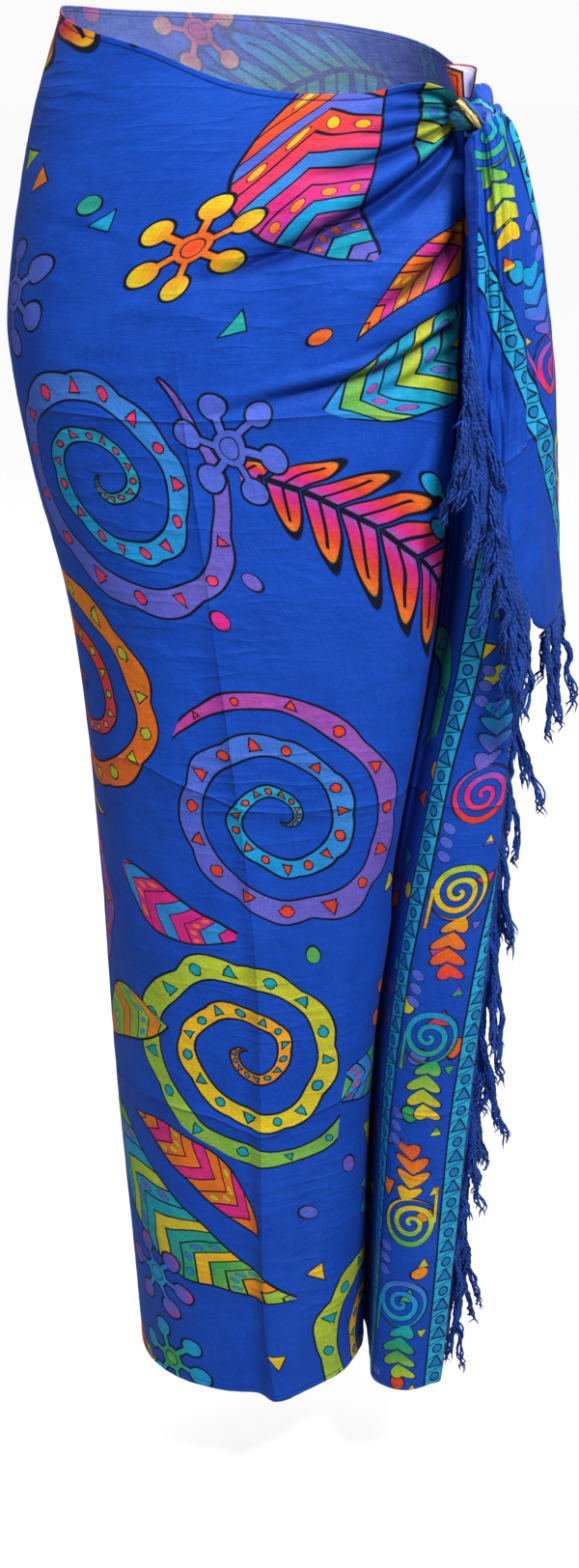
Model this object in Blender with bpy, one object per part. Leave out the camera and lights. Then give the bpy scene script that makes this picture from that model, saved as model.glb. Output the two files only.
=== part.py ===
# A long printed sarong, wrapped round the hips and tied in a knot at the right hip.
# Metres, +Z up, -Y towards the front, +X to the viewer's right.
# The origin is on the wearer's axis, level with the waist line.

import functools
import math
import random

import bmesh
import bpy
from mathutils import Vector

# Driving sizes
CLOTH = 0.0014              # wall of the cloth
SEAM = 0.0004               # gap where two stretches of the cloth meet
HEM_Z = -1.075              # lowest edge of the cloth
KNOT = Vector((0.1200, -0.0988, -0.0600))
KNOT_RADII = Vector((0.0125, 0.0115, 0.0085))
KNOT_BACK = 0.0090          # the knot is flatter behind, where it lies on the front fold
BAND_WIDTH = 0.0105         # across the band that goes round the knot
BAND_WALL = 0.0028
BAND_TILT = 40.0            # degrees from upright, its top end to the left
BAND_INSIDE = Vector((0.0, 0.0122, 0.0103))     # half depth in front and half height
BAND_BACK = 0.0097          # half depth behind
LOOP_RADIUS = 0.0082
LOOP_ROUTE = (Vector((0.1270, -0.0608, -0.0560)), Vector((0.1370, -0.0690, -0.0490)),
              Vector((0.1395, -0.0830, -0.0475)), Vector((0.1316, -0.0968, -0.0580)))
LOOP_FLAT_WAY = Vector((0.92, 0.30, 0.25))
EAR_FOOT = KNOT + Vector((-0.0015, 0.0030, 0.0132))
EAR_HEIGHT = 0.0225
EAR_TURNS = (225.0, -9.0)   # degrees round the ear's foot, from its first side to its last

# Sections of the wrapped tube, one row for each height. The walk round a section is
# end (of the under layer) -> right -> back -> left -> front -> fold -> valley.
SECTION_COLUMNS = (
    "z", "end_x", "end_y", "right_x", "right_y", "back_x", "back_y", "left_x", "left_y",
    "front_x", "front_y", "fold_x", "fold_y", "valley_y")
SECTIONS = (
    (-1.075, 0.135, -0.050, 0.1370, 0.000, 0.000, 0.106, -0.1290, -0.008,
     -0.020, -0.101, 0.0640, -0.008, 0.0135),
    (-0.820, 0.150, -0.050, 0.1520, 0.000, -0.002, 0.112, -0.1440, -0.004,
     -0.022, -0.108, 0.0670, -0.035, 0.0080),
    (-0.640, 0.157, -0.050, 0.1610, 0.000, -0.006, 0.117, -0.1516, -0.002,
     -0.024, -0.115, 0.0790, -0.055, 0.0000),
    (-0.430, 0.158, -0.045, 0.1640, 0.002, -0.012, 0.121, -0.1680, 0.000,
     -0.024, -0.120, 0.1070, -0.075, -0.0200),
    (-0.300, 0.155, -0.047, 0.1625, 0.002, -0.016, 0.124, -0.1960, 0.000,
     -0.024, -0.121, 0.1160, -0.080, -0.0420),
    (-0.206, 0.150, -0.050, 0.1580, 0.002, -0.020, 0.124, -0.2080, 0.000,
     -0.022, -0.121, 0.1185, -0.082, -0.0560),
    (-0.117, 0.138, -0.056, 0.1400, 0.000, -0.021, 0.118, -0.1955, 0.000,
     -0.020, -0.117, 0.1185, -0.082, -0.0660),
    (-0.054, 0.1270, -0.060, 0.1235, 0.000, -0.021, 0.109, -0.1810, 0.000,
     -0.020, -0.109, 0.1175, -0.079, -0.0680),
    (0.010, 0.1190, -0.062, 0.1050, 0.000, -0.022, 0.099, -0.1600, 0.000,
     -0.020, -0.098, 0.1040, -0.074, -0.0660))

VALLEY_TUCK = 0.0015        # how far the valley lies behind the fold, sideways
FOLD_GAP = 0.0032           # room between the front fold and the fall beside it

# Height of the top edge, by station: 0 end, 1 right, 2 back, 3 left, 4 front, 5 fold, 6 valley
TOP_EDGE_COLUMNS = ("station", "z")
TOP_EDGE = (
    (0.0, -0.0500), (0.5, -0.0400), (1.0, -0.0280), (1.5, -0.0080), (2.0, 0.0040),
    (2.5, 0.0080), (3.0, 0.0100), (3.35, -0.0030), (3.68, -0.0170), (4.0, -0.0420),
    (4.30, -0.0450), (4.58, -0.0385), (4.85, -0.0475), (5.0, -0.0560), (6.0, -0.0640))

# Columns of the mesh between two stations, and rows from the hem to the top edge
STATION_COLUMNS = (3, 10, 12, 14, 21, 5)
TUBE_ROWS = 26
ROW_CROWDING = 1.95         # above 1, rows crowd towards the top edge
FLATNESS = 2.16             # 2 is an ellipse

# Pull folds that fan out over the front from where it is gathered. Angles are degrees below
# level, towards the viewer's left: a fold leaves at "near" and turns to "far".
GATHER = Vector((0.1140, -0.1003, -0.0590))
FOLD_SPREAD = 0.0016        # half width of a fold at the gather
FOLD_WIDENING = 0.055       # and how much it widens for each metre away
PULL_FOLDS = (              # near, far, turn in, reach, height
    (-6.0, -16.0, 0.030, 0.060, 0.0020),
    (6.0, 10.0, 0.030, 0.065, 0.0022),
    (24.0, 25.0, 0.030, 0.070, 0.0026),
    (71.0, 45.0, 0.020, 0.110, 0.0042),
    (140.0, 50.0, 0.022, 0.190, 0.0065),
    (130.0, 50.0, 0.090, 0.250, 0.0050))

# Long soft folds that hang down the tube
HANG_FOLDS = (              # station, top, bottom, width, height
    (3.965, -0.450, -1.250, 0.085, 0.0085),
    (0.55, -0.060, -0.700, 0.140, 0.0040),
    (1.18, -0.080, -0.800, 0.110, 0.0045),
    (1.52, -0.300, -1.300, 0.120, 0.0060),
    (1.86, -0.180, -1.000, 0.110, 0.0050),
    (2.22, -0.350, -1.300, 0.120, 0.0065),
    (2.58, -0.200, -1.200, 0.110, 0.0050))

# The end of the front layer, which falls from the knot to the hem beside the front fold.
# It starts at the valley, comes forward to its crest and lies flat out to its fringed edge.
FALL_COLUMNS = (
    "z", "crest_x", "crest_y", "left_x", "left_y", "mid_x", "mid_y", "edge_x", "edge_y")
FALL_SECTIONS = (
    (-1.075, 0.0685, -0.055, 0.0710, -0.084, 0.0960, -0.098, 0.1230, -0.088),
    (-0.820, 0.0755, -0.068, 0.0850, -0.093, 0.1110, -0.105, 0.1385, -0.094),
    (-0.640, 0.0890, -0.080, 0.1000, -0.099, 0.1260, -0.108, 0.1500, -0.099),
    (-0.430, 0.1190, -0.087, 0.1350, -0.099, 0.1490, -0.103, 0.1610, -0.099),
    (-0.300, 0.1275, -0.088, 0.1390, -0.096, 0.1480, -0.098, 0.1570, -0.095),
    (-0.180, 0.1275, -0.088, 0.1340, -0.094, 0.1415, -0.095, 0.1490, -0.091),
    (-0.080, 0.1215, -0.085, 0.1260, -0.0885, 0.1315, -0.0885, 0.1370, -0.0850))
FALL_TOP_Z = -0.0740
FALL_ROWS = 14
FALL_MESH_COLUMNS = 20
PLEATS = 2.0                # pleats where the fall is bunched up to the knot
PLEAT_DEPTH = 0.0042

# The free corner that hangs from the knot over the right hip, one row for each fold.
# Each fold runs from the knot over a shoulder down to the fringed end of the cloth.
TAIL_COLUMNS = (
    "across", "start_x", "start_y", "start_z", "shoulder_x", "shoulder_y", "shoulder_z",
    "edge_x", "edge_y", "edge_z")
TAIL_FOLDS = (
    (0.00, 0.1190, -0.1073, -0.0710, 0.1210, -0.1190, -0.120, 0.1205, -0.1285, -0.195),
    (0.12, 0.1215, -0.1123, -0.0695, 0.1265, -0.1370, -0.120, 0.1280, -0.1300, -0.222),
    (0.25, 0.1260, -0.1108, -0.0675, 0.1345, -0.1250, -0.120, 0.1365, -0.1300, -0.268),
    (0.40, 0.1300, -0.1128, -0.0645, 0.1460, -0.1390, -0.105, 0.1480, -0.1330, -0.322),
    (0.55, 0.1340, -0.1098, -0.0615, 0.1620, -0.1290, -0.095, 0.1630, -0.1300, -0.375),
    (0.70, 0.1370, -0.1043, -0.0585, 0.1760, -0.1040, -0.087, 0.1810, -0.1100, -0.412),
    (0.85, 0.1385, -0.0973, -0.0560, 0.1860, -0.0680, -0.080, 0.2010, -0.0640, -0.408),
    (1.00, 0.1380, -0.0913, -0.0550, 0.1780, -0.0330, -0.078, 0.1970, -0.0110, -0.360))
TAIL_MESH_COLUMNS = 26
TAIL_ROWS = 12

# Twisted fringe. Each strand leaves its backing, turns down and drifts away from the edge.
STRAND = 0.0018             # thickness of a strand
BACKING = 0.0035            # width of the backing strip
BACKING_WALL = 0.0014
PARTING = 0.0007            # gap between the backing and the cloth's edge
STRAND_STEPS = 4
LANE = 0.0034               # neighbours hang in three lanes, one behind the other
FRINGE_LOW_Z = HEM_Z + 0.080        # lowest roots, so that no strand reaches below the hem
FALL_FRINGE_TOP_Z = -0.425
END_FRINGE_TOP_Z = -0.150
TAIL_FRINGED = (0.62, 0.0)          # stretches of the tail's edge that carry fringe
TIP_FRINGED = (1.0, 0.73)
RIGHT = Vector((1.0, 0.0, 0.0))
FORWARD = Vector((0.0, -1.0, 0.0))

CLOTH_BLUE = (0.014, 0.040, 0.480, 1.0)
CLOTH_ROUGHNESS = 0.62
FRINGE_BLUE = (0.010, 0.026, 0.330, 1.0)
FRINGE_ROUGHNESS = 0.75


def clear_scene():
    for old in list(bpy.data.objects):
        bpy.data.objects.remove(old, do_unlink=True)


def cloth_material(name, colour, roughness):
    material = bpy.data.materials.new(name)
    material.use_nodes = True
    shader = material.node_tree.nodes["Principled BSDF"]
    shader.inputs["Base Color"].default_value = colour
    shader.inputs["Roughness"].default_value = roughness
    shader.inputs["Metallic"].default_value = 0.0
    return material


# Tables

def read_column(table, columns, name):
    key = columns[0]
    at = columns.index(name)
    start = columns.index(key)
    return [row[start] for row in table], [row[at] for row in table]


def smooth_value(xs, ys, x):
    # a cubic through every row, level beyond the first and the last
    if x <= xs[0]:
        return ys[0]
    if x >= xs[-1]:
        return ys[-1]
    i = max(k for k in range(len(xs) - 1) if xs[k] <= x)
    slopes = []
    for k in (i, i + 1):
        low = max(k - 1, 0)
        high = min(k + 1, len(xs) - 1)
        slopes.append((ys[high] - ys[low]) / (xs[high] - xs[low]))
    step = xs[i + 1] - xs[i]
    f = (x - xs[i]) / step
    return ((2 * f ** 3 - 3 * f ** 2 + 1) * ys[i]
            + (f ** 3 - 2 * f ** 2 + f) * step * slopes[0]
            + (3 * f ** 2 - 2 * f ** 3) * ys[i + 1]
            + (f ** 3 - f ** 2) * step * slopes[1])


def table_row(table, columns, x):
    # every column of a table at one place, as a dictionary
    row = {}
    for name in columns[1:]:
        xs, ys = read_column(table, columns, name)
        row[name] = smooth_value(xs, ys, x)
    return row


def smooth_step(low, high, x):
    f = min(max((x - low) / (high - low), 0.0), 1.0)
    return f * f * (3.0 - 2.0 * f)


# The wrapped tube

def quarter(side, front, f):
    # from the sideways extreme to the front or back extreme, as f goes from 0 to 1
    turn = f * math.pi / 2.0
    power = 2.0 / FLATNESS
    x = front[0] + (side[0] - front[0]) * max(math.cos(turn), 0.0) ** power
    y = side[1] + (front[1] - side[1]) * max(math.sin(turn), 0.0) ** power
    return x, y


def curl(side, tip, f):
    # from a sideways extreme on to the edge of the cloth
    most = math.radians(60.0)
    turn = f * most
    x = side[0] + (tip[0] - side[0]) * (1.0 - math.cos(turn)) / (1.0 - math.cos(most))
    y = side[1] + (tip[1] - side[1]) * math.sin(turn) / math.sin(most)
    return x, y


@functools.lru_cache(maxsize=None)
def section(z):
    return table_row(SECTIONS, SECTION_COLUMNS, z)


def tube_base(station, z):
    row = section(round(z, 6))
    place = {name: (row[name + "_x"], row[name + "_y"])
             for name in ("end", "right", "back", "left", "front", "fold")}
    place["valley"] = (row["fold_x"] - VALLEY_TUCK, row["valley_y"])
    leg = min(int(station), 5)
    f = station - leg
    if leg == 0:
        x, y = curl(place["right"], place["end"], 1.0 - f)
    elif leg == 1:
        x, y = quarter(place["right"], place["back"], f)
    elif leg == 2:
        x, y = quarter(place["left"], place["back"], 1.0 - f)
    elif leg == 3:
        x, y = quarter(place["left"], place["front"], f)
    elif leg == 4:
        x, y = quarter(place["fold"], place["front"], 1.0 - f)
    else:
        x, y = curl(place["fold"], place["valley"], f)
    return Vector((x, y, z))


def pull_height(point):
    # height of the fanned folds at a point of the front: steep below each, gentle above
    away = GATHER.x - point.x
    below = GATHER.z - point.z
    reach = math.hypot(away, below)
    if away < -0.004 or reach < 0.002:
        return 0.0
    angle = math.degrees(math.atan2(below, away))
    total = 0.0
    for near, far, turn_in, longest, height in PULL_FOLDS:
        line = far + (near - far) * math.exp(-reach / turn_in)
        off = math.radians(angle - line) * reach
        spread = (FOLD_SPREAD + FOLD_WIDENING * reach) * (0.7 if off > 0.0 else 1.6)
        fade = smooth_step(0.002, 0.030, reach) * (1.0 - smooth_step(0.35 * longest, longest, reach))
        total += height * fade * math.exp(-(off / spread) ** 2)
    return total


def hang_height(station, z):
    total = 0.0
    for place, top, bottom, width, height in HANG_FOLDS:
        metres = (station - place) * 0.20       # a quarter of the tube is about 0.2 m
        fade = smooth_step(top, top - 0.22, z) * (1.0 - smooth_step(bottom + 0.22, bottom, z))
        total += height * fade * math.exp(-(metres / (0.5 * width)) ** 2)
    return total


def tube_point(station, z):
    step = 0.02
    point = tube_base(station, z)
    before = tube_base(max(station - step, 0.0), z)
    after = tube_base(min(station + step, 6.0), z)
    walk = (after - before).normalized()
    outward = walk.cross(Vector((0.0, 0.0, 1.0)))
    height = hang_height(station, z)
    if 3.4 < station < 5.0:
        height += pull_height(point) * (1.0 - smooth_step(4.80, 5.0, station))
    return point + outward * height


def top_z(station):
    xs, ys = read_column(TOP_EDGE, TOP_EDGE_COLUMNS, "z")
    return smooth_value(xs, ys, station)


def station_list():
    stations = []
    for leg, count in enumerate(STATION_COLUMNS):
        stations += [leg + i / count for i in range(count)]
    return stations + [6.0]


def row_height(v, top):
    # v is 0 at the hem and 1 at the top edge
    return top - (top - HEM_Z) * (1.0 - v) ** ROW_CROWDING


def make_sheet(name, columns, rows, place, material):
    # a grid moved onto its surface, its outer face, then given its wall inwards
    mesh = bpy.data.meshes.new(name)
    sheet = bmesh.new()
    bmesh.ops.create_grid(sheet, x_segments=columns, y_segments=rows, size=0.5)
    for vertex in sheet.verts:
        i = round((vertex.co.x + 0.5) * columns)
        j = round((vertex.co.y + 0.5) * rows)
        vertex.co = place(i, j)
    sheet.to_mesh(mesh)
    sheet.free()
    mesh.shade_smooth()
    mesh.set_sharp_from_angle(angle=math.radians(50.0))
    piece = bpy.data.objects.new(name, mesh)
    bpy.context.collection.objects.link(piece)
    piece.data.materials.append(material)
    wall = piece.modifiers.new("wall", "SOLIDIFY")
    wall.thickness = CLOTH
    wall.offset = -1.0
    return piece


def make_wrap(material):
    stations = station_list()

    def place(i, j):
        station = stations[i]
        return tube_point(station, row_height(j / TUBE_ROWS, top_z(station)))

    return make_sheet("wrap", len(stations) - 1, TUBE_ROWS, place, material)


# The fall beside the front fold

def fall_point(s, z):
    # s is 0 at the valley and 1 at the fringed edge
    row = table_row(FALL_SECTIONS, FALL_COLUMNS, z)
    valley = tube_base(6.0, z)
    fold = tube_base(5.0, z)
    xs = (0.0, 0.24, 0.42, 0.60, 0.80, 1.0)
    line_x = (valley.x + 1.5 * SEAM, fold.x + FOLD_GAP, row["crest_x"], row["left_x"],
              row["mid_x"], row["edge_x"])
    line_y = (valley.y, fold.y, row["crest_y"], row["left_y"], row["mid_y"], row["edge_y"])
    x = smooth_value(xs, line_x, s)
    y = smooth_value(xs, line_y, s)
    bunched = smooth_step(-0.50, -0.30, z) * (1.0 - 0.45 * smooth_step(-0.16, -0.08, z))
    spread = smooth_step(0.34, 0.52, s)
    y -= PLEAT_DEPTH * bunched * spread * math.sin(2.0 * math.pi * PLEATS * (s - 0.40) / 0.60)
    return Vector((x, y, z))


def make_fall(material):
    def place(i, j):
        v = j / FALL_ROWS
        z = FALL_TOP_Z - (FALL_TOP_Z - HEM_Z) * (1.0 - v) ** 1.3
        return fall_point(i / FALL_MESH_COLUMNS, z)

    return make_sheet("front_fall", FALL_MESH_COLUMNS, FALL_ROWS, place, material)


# The tail over the right hip

def tail_point(s, r):
    # s goes across the folds, r from the knot to the fringed end
    row = table_row(TAIL_FOLDS, TAIL_COLUMNS, s)
    start, shoulder, edge = (Vector((row[end + "_x"], row[end + "_y"], row[end + "_z"]))
                             for end in ("start", "shoulder", "edge"))
    return start * (1.0 - r) ** 2 + shoulder * 2.0 * r * (1.0 - r) + edge * r ** 2


def tail_mesh_point(s, r):
    # on the straight line between two columns of the tail's mesh
    at = min(max(s * TAIL_MESH_COLUMNS, 0.0), TAIL_MESH_COLUMNS - 0.0001)
    i = int(at)
    return tail_point(i / TAIL_MESH_COLUMNS, r).lerp(
        tail_point((i + 1) / TAIL_MESH_COLUMNS, r), at - i)


def make_tail(material):
    def place(i, j):
        return tail_point(i / TAIL_MESH_COLUMNS, 1.0 - j / TAIL_ROWS)

    return make_sheet("tail", TAIL_MESH_COLUMNS, TAIL_ROWS, place, material)


# The knot

def make_ball(name, rings, segments, place, material):
    # a sphere moved onto a closed form: place takes its unit direction
    mesh = bpy.data.meshes.new(name)
    ball = bmesh.new()
    bmesh.ops.create_uvsphere(ball, u_segments=segments, v_segments=rings, radius=1.0)
    for vertex in ball.verts:
        vertex.co = place(vertex.co.normalized())
    ball.to_mesh(mesh)
    ball.free()
    mesh.shade_smooth()
    piece = bpy.data.objects.new(name, mesh)
    bpy.context.collection.objects.link(piece)
    piece.data.materials.append(material)
    return piece


def make_knot_core(material):
    def place(way):
        around = math.atan2(way.z, way.x)
        crease = 1.0 - 0.07 * (1.0 + math.cos(5.0 * around + 0.8)) * (1.0 - way.y ** 2)
        depth = KNOT_BACK if way.y > 0.0 else KNOT_RADII.y
        return KNOT + Vector((way.x * KNOT_RADII.x, way.y * depth,
                              way.z * KNOT_RADII.z)) * crease

    return make_ball("knot_core", 12, 20, place, material)


def make_knot_band(material):
    mesh = bpy.data.meshes.new("knot_band")
    ring = bmesh.new()
    around_count = 28
    section_count = 10
    bmesh.ops.create_grid(ring, x_segments=around_count, y_segments=section_count, size=0.5)
    tilt = math.radians(BAND_TILT)
    across = Vector((math.cos(tilt), 0.0, math.sin(tilt)))
    along = Vector((-math.sin(tilt), 0.0, math.cos(tilt)))
    for vertex in ring.verts:
        turn = (vertex.co.x + 0.5) * 2.0 * math.pi
        lap = (vertex.co.y + 0.5) * 2.0 * math.pi
        rise = along * math.cos(turn) + Vector((0.0, -1.0, 0.0)) * math.sin(turn)
        depth = BAND_INSIDE.y if math.sin(turn) > 0.0 else BAND_BACK
        radius = math.hypot(BAND_INSIDE.z * math.cos(turn), depth * math.sin(turn))
        radius += 0.5 * BAND_WALL * (1.0 + math.sin(lap))
        swell = 1.0 + 0.18 * math.sin(turn)
        vertex.co = KNOT + rise * radius + across * (0.5 * BAND_WIDTH * swell * math.cos(lap))
    bmesh.ops.remove_doubles(ring, verts=ring.verts, dist=0.00001)
    bmesh.ops.recalc_face_normals(ring, faces=ring.faces)
    ring.to_mesh(mesh)
    ring.free()
    mesh.shade_smooth()
    piece = bpy.data.objects.new("knot_band", mesh)
    bpy.context.collection.objects.link(piece)
    piece.data.materials.append(material)
    return piece


def make_knot_loop(material):
    # the gathered top edge of the under layer, coming round the hip to the knot
    def place(way):
        s = math.acos(max(-1.0, min(1.0, way.z))) / math.pi
        stops = (0.0, 0.33, 0.67, 1.0)
        centre = Vector([smooth_value(stops, [p[k] for p in LOOP_ROUTE], s) for k in range(3)])
        around = math.atan2(way.x, way.y)
        pleat = 1.0 + 0.12 * math.cos(4.0 * around)
        radius = LOOP_RADIUS * math.sin(math.pi * s) ** 0.7 * pleat
        flat = LOOP_FLAT_WAY * (0.62 * radius * math.cos(around))
        return centre + flat + Vector((0.0, 0.0, 1.25 * radius * math.sin(around)))

    return make_ball("knot_loop", 14, 16, place, material)


def make_corner_ear(material):
    # the corner of the front layer, standing up out of the knot and folded on itself
    columns = 12
    rows = 8

    def place(i, j):
        s = i / columns
        v = j / rows
        bend = math.radians(EAR_TURNS[0] + (EAR_TURNS[1] - EAR_TURNS[0]) * s)
        open_out = 0.0042 + 0.0062 * v
        x = open_out * math.cos(bend) * 1.25 - 0.0050 * v
        y = -open_out * math.sin(bend) * 0.95
        z = EAR_HEIGHT * v * (0.62 + 0.38 * math.sin(math.pi * min(1.0, 0.25 + 0.75 * s)))
        return EAR_FOOT + Vector((x, y, z))

    return make_sheet("corner_ear", columns, rows, place, material)


# Fringe

def edge_frame(surface, f):
    # surface takes a place along the edge and how far it lies inside the cloth, in metres
    step = 0.004
    point = surface(f, 0.0)
    along = (surface(min(f + step, 1.0), 0.0) - surface(max(f - step, 0.0), 0.0)).normalized()
    outward = point - surface(f, 0.003)
    outward = (outward - along * outward.dot(along)).normalized()
    normal = along.cross(outward)
    return {"point": point - normal * (0.5 * CLOTH), "outward": outward, "normal": normal}


def strand_point(frame, strand, fringe, q):
    # centre of a strand, q from its root to its end
    drop = strand["length"] * max(q - 0.08, 0.0) / 0.92
    out = BACKING + 0.0042 * smooth_step(0.0, 0.22, q)
    swing = strand["sway"] * smooth_step(0.15, 0.6, q) * math.sin(strand["phase"] + 5.0 * q)
    aside = strand["lane"] * smooth_step(0.02, 0.30, q)
    return (frame["point"] + frame["outward"] * out + strand["drift"] * drop
            + fringe["sway_way"] * swing + fringe["lane_way"] * aside
            + Vector((0.0, 0.0, -drop)))


def make_fringe(name, fringe, surface, material):
    # a narrow backing along the cloth's edge, with every second face drawn out as a strand
    chance = random.Random(fringe["seed"])
    count = fringe["count"]
    strands = [{"length": chance.uniform(*fringe["lengths"]), "phase": chance.uniform(0.0, 6.28),
                "sway": chance.uniform(0.4, 1.0) * fringe["sway"], "lane": (k % 3 - 1) * LANE,
                "drift": fringe["drift"] * (1.0 + 0.30 * math.sin(0.35 * k))}
               for k in range(count)]
    mesh = bpy.data.meshes.new(name)
    form = bmesh.new()
    pieces = 2 * count + 1
    bmesh.ops.create_grid(form, x_segments=pieces, y_segments=1, size=0.5)
    bmesh.ops.solidify(form, geom=form.faces[:], thickness=1.0)
    for vertex in form.verts:
        vertex.co = (round((vertex.co.x + 0.5) * pieces), round(vertex.co.y + 0.5),
                     round(vertex.co.z + 1.0))
    roots = [face for face in form.faces
             if all(vertex.co.y > 0.5 for vertex in face.verts)
             and int(face.calc_center_median().x) % 2 == 1]
    for _ in range(STRAND_STEPS):
        grown = bmesh.ops.extrude_discrete_faces(form, faces=roots)["faces"]
        for vertex in {v for face in grown for v in face.verts}:
            vertex.co.y += 1.0
        roots = grown

    for vertex in form.verts:
        u, w, t = vertex.co
        if w <= 1.0:
            frame = edge_frame(surface, u / pieces)
            vertex.co = (frame["point"] + frame["outward"] * (PARTING + w * (BACKING - PARTING))
                         + frame["normal"] * ((t - 0.5) * BACKING_WALL))
            continue
        k = min(int((u - 0.5) / 2.0), count - 1)
        middle = 2 * k + 1.5
        frame = edge_frame(surface, middle / pieces)
        q = (w - 1.0) / STRAND_STEPS
        here = strand_point(frame, strands[k], fringe, q)
        walk = here - strand_point(frame, strands[k], fringe, q - 0.04)
        thick = frame["normal"].lerp(fringe["lane_way"], smooth_step(0.0, 0.35, q)).normalized()
        wide = walk.cross(thick).normalized()
        half = 0.5 * STRAND * (1.0 - 0.25 * q)
        vertex.co = (here + wide * math.copysign(half, u - middle)
                     + thick * math.copysign(half, t - 0.5))
    form.to_mesh(mesh)
    form.free()
    piece = bpy.data.objects.new(name, mesh)
    bpy.context.collection.objects.link(piece)
    piece.data.materials.append(material)
    return piece


def make_fall_fringe(material):
    fringe = {"count": 48, "seed": 3, "lengths": (0.084, 0.094), "sway": 0.0016,
              "drift": RIGHT * 0.17, "sway_way": RIGHT, "lane_way": FORWARD}

    def surface(f, inside):
        z = FALL_FRINGE_TOP_Z + (FRINGE_LOW_Z - FALL_FRINGE_TOP_Z) * f
        return fall_point(1.0 - inside / 0.15, z)

    return make_fringe("fall_fringe", fringe, surface, material)


def make_tail_fringe(material):
    fringe = {"count": 22, "seed": 7, "lengths": (0.080, 0.100), "sway": 0.0008,
              "drift": RIGHT * -0.16, "sway_way": RIGHT, "lane_way": FORWARD}

    def surface(f, inside):
        s = TAIL_FRINGED[0] + (TAIL_FRINGED[1] - TAIL_FRINGED[0]) * f
        return tail_mesh_point(s, 1.0 - inside / 0.25)

    return make_fringe("tail_fringe", fringe, surface, material)


def make_tip_fringe(material):
    fringe = {"count": 11, "seed": 11, "lengths": (0.075, 0.100), "sway": 0.0,
              "drift": RIGHT * 0.0, "sway_way": RIGHT, "lane_way": Vector((0.86, -0.50, 0.0))}

    def surface(f, inside):
        s = TIP_FRINGED[0] + (TIP_FRINGED[1] - TIP_FRINGED[0]) * f
        return tail_mesh_point(s, 1.0 - inside / 0.35)

    return make_fringe("tip_fringe", fringe, surface, material)


def make_end_fringe(material):
    fringe = {"count": 46, "seed": 5, "lengths": (0.078, 0.086), "sway": 0.0012,
              "drift": FORWARD * 0.14, "sway_way": FORWARD, "lane_way": RIGHT}

    def surface(f, inside):
        z = FRINGE_LOW_Z + (END_FRINGE_TOP_Z - FRINGE_LOW_Z) * f
        return tube_point(inside / 0.06, z)

    return make_fringe("end_fringe", fringe, surface, material)


def build():
    clear_scene()
    for make in (make_wrap, make_fall, make_tail, make_knot_core, make_knot_band,
                 make_knot_loop, make_corner_ear):
        finish = cloth_material("printed_cloth", CLOTH_BLUE, CLOTH_ROUGHNESS)
        make(finish)
    for make in (make_fall_fringe, make_tail_fringe, make_tip_fringe, make_end_fringe):
        finish = cloth_material("fringe_yarn", FRINGE_BLUE, FRINGE_ROUGHNESS)
        make(finish)


build()
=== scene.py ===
import math
import random

import bmesh
import bpy
import numpy as np
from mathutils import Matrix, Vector, noise


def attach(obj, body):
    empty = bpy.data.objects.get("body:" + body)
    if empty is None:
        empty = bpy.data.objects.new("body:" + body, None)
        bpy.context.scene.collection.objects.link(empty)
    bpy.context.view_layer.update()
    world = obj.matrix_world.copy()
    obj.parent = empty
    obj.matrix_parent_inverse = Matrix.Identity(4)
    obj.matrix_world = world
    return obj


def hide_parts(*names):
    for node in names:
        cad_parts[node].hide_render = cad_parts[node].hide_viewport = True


# A printed sarong, wrapped round the hips and tied in a knot over one hip.
# Metres, +Z up, -Y towards the front. The origin is on the wearer's axis at the waist, and
# left and right are as seen from the front, so the knot is on the right, towards +X.

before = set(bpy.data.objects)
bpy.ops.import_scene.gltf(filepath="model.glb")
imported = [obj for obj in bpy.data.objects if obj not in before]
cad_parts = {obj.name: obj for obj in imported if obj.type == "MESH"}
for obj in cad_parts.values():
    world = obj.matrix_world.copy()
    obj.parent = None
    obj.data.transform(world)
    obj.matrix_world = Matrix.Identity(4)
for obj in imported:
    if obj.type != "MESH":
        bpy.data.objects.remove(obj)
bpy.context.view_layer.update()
print("frame loaded")


# Smooth tables

def smoothValue(stops, values, at):
    # a cubic through every row, level beyond the first and the last
    stops = np.asarray(stops, float)
    values = np.asarray(values, float)
    slopes = np.empty(len(stops))
    slopes[1:-1] = (values[2:] - values[:-2]) / (stops[2:] - stops[:-2])
    slopes[0] = (values[1] - values[0]) / (stops[1] - stops[0])
    slopes[-1] = (values[-1] - values[-2]) / (stops[-1] - stops[-2])
    at = np.clip(at, stops[0], stops[-1])
    k = np.clip(np.searchsorted(stops, at, side="right") - 1, 0, len(stops) - 2)
    step = stops[k + 1] - stops[k]
    f = (at - stops[k]) / step
    return ((2 * f ** 3 - 3 * f ** 2 + 1) * values[k] + (f ** 3 - 2 * f ** 2 + f) * step * slopes[k]
            + (3 * f ** 2 - 2 * f ** 3) * values[k + 1] + (f ** 3 - f ** 2) * step * slopes[k + 1])


def smoothStep(low, high, at):
    f = np.clip((at - low) / (high - low), 0.0, 1.0)
    return f * f * (3.0 - 2.0 * f)


def readTable(table, at):
    # every column of a table at the places given, by name
    rows = sorted(table["rows"])
    stops = [row[0] for row in rows]
    return {name: smoothValue(stops, [row[k] for row in rows], at)
            for k, name in enumerate(table["columns"]) if k}


# The wrapped cloth: its sections, and its top edge by station. The walk round a section is
# 0 end of the under layer, 1 right, 2 back, 3 left, 4 front, 5 fold, 6 valley.

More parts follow.
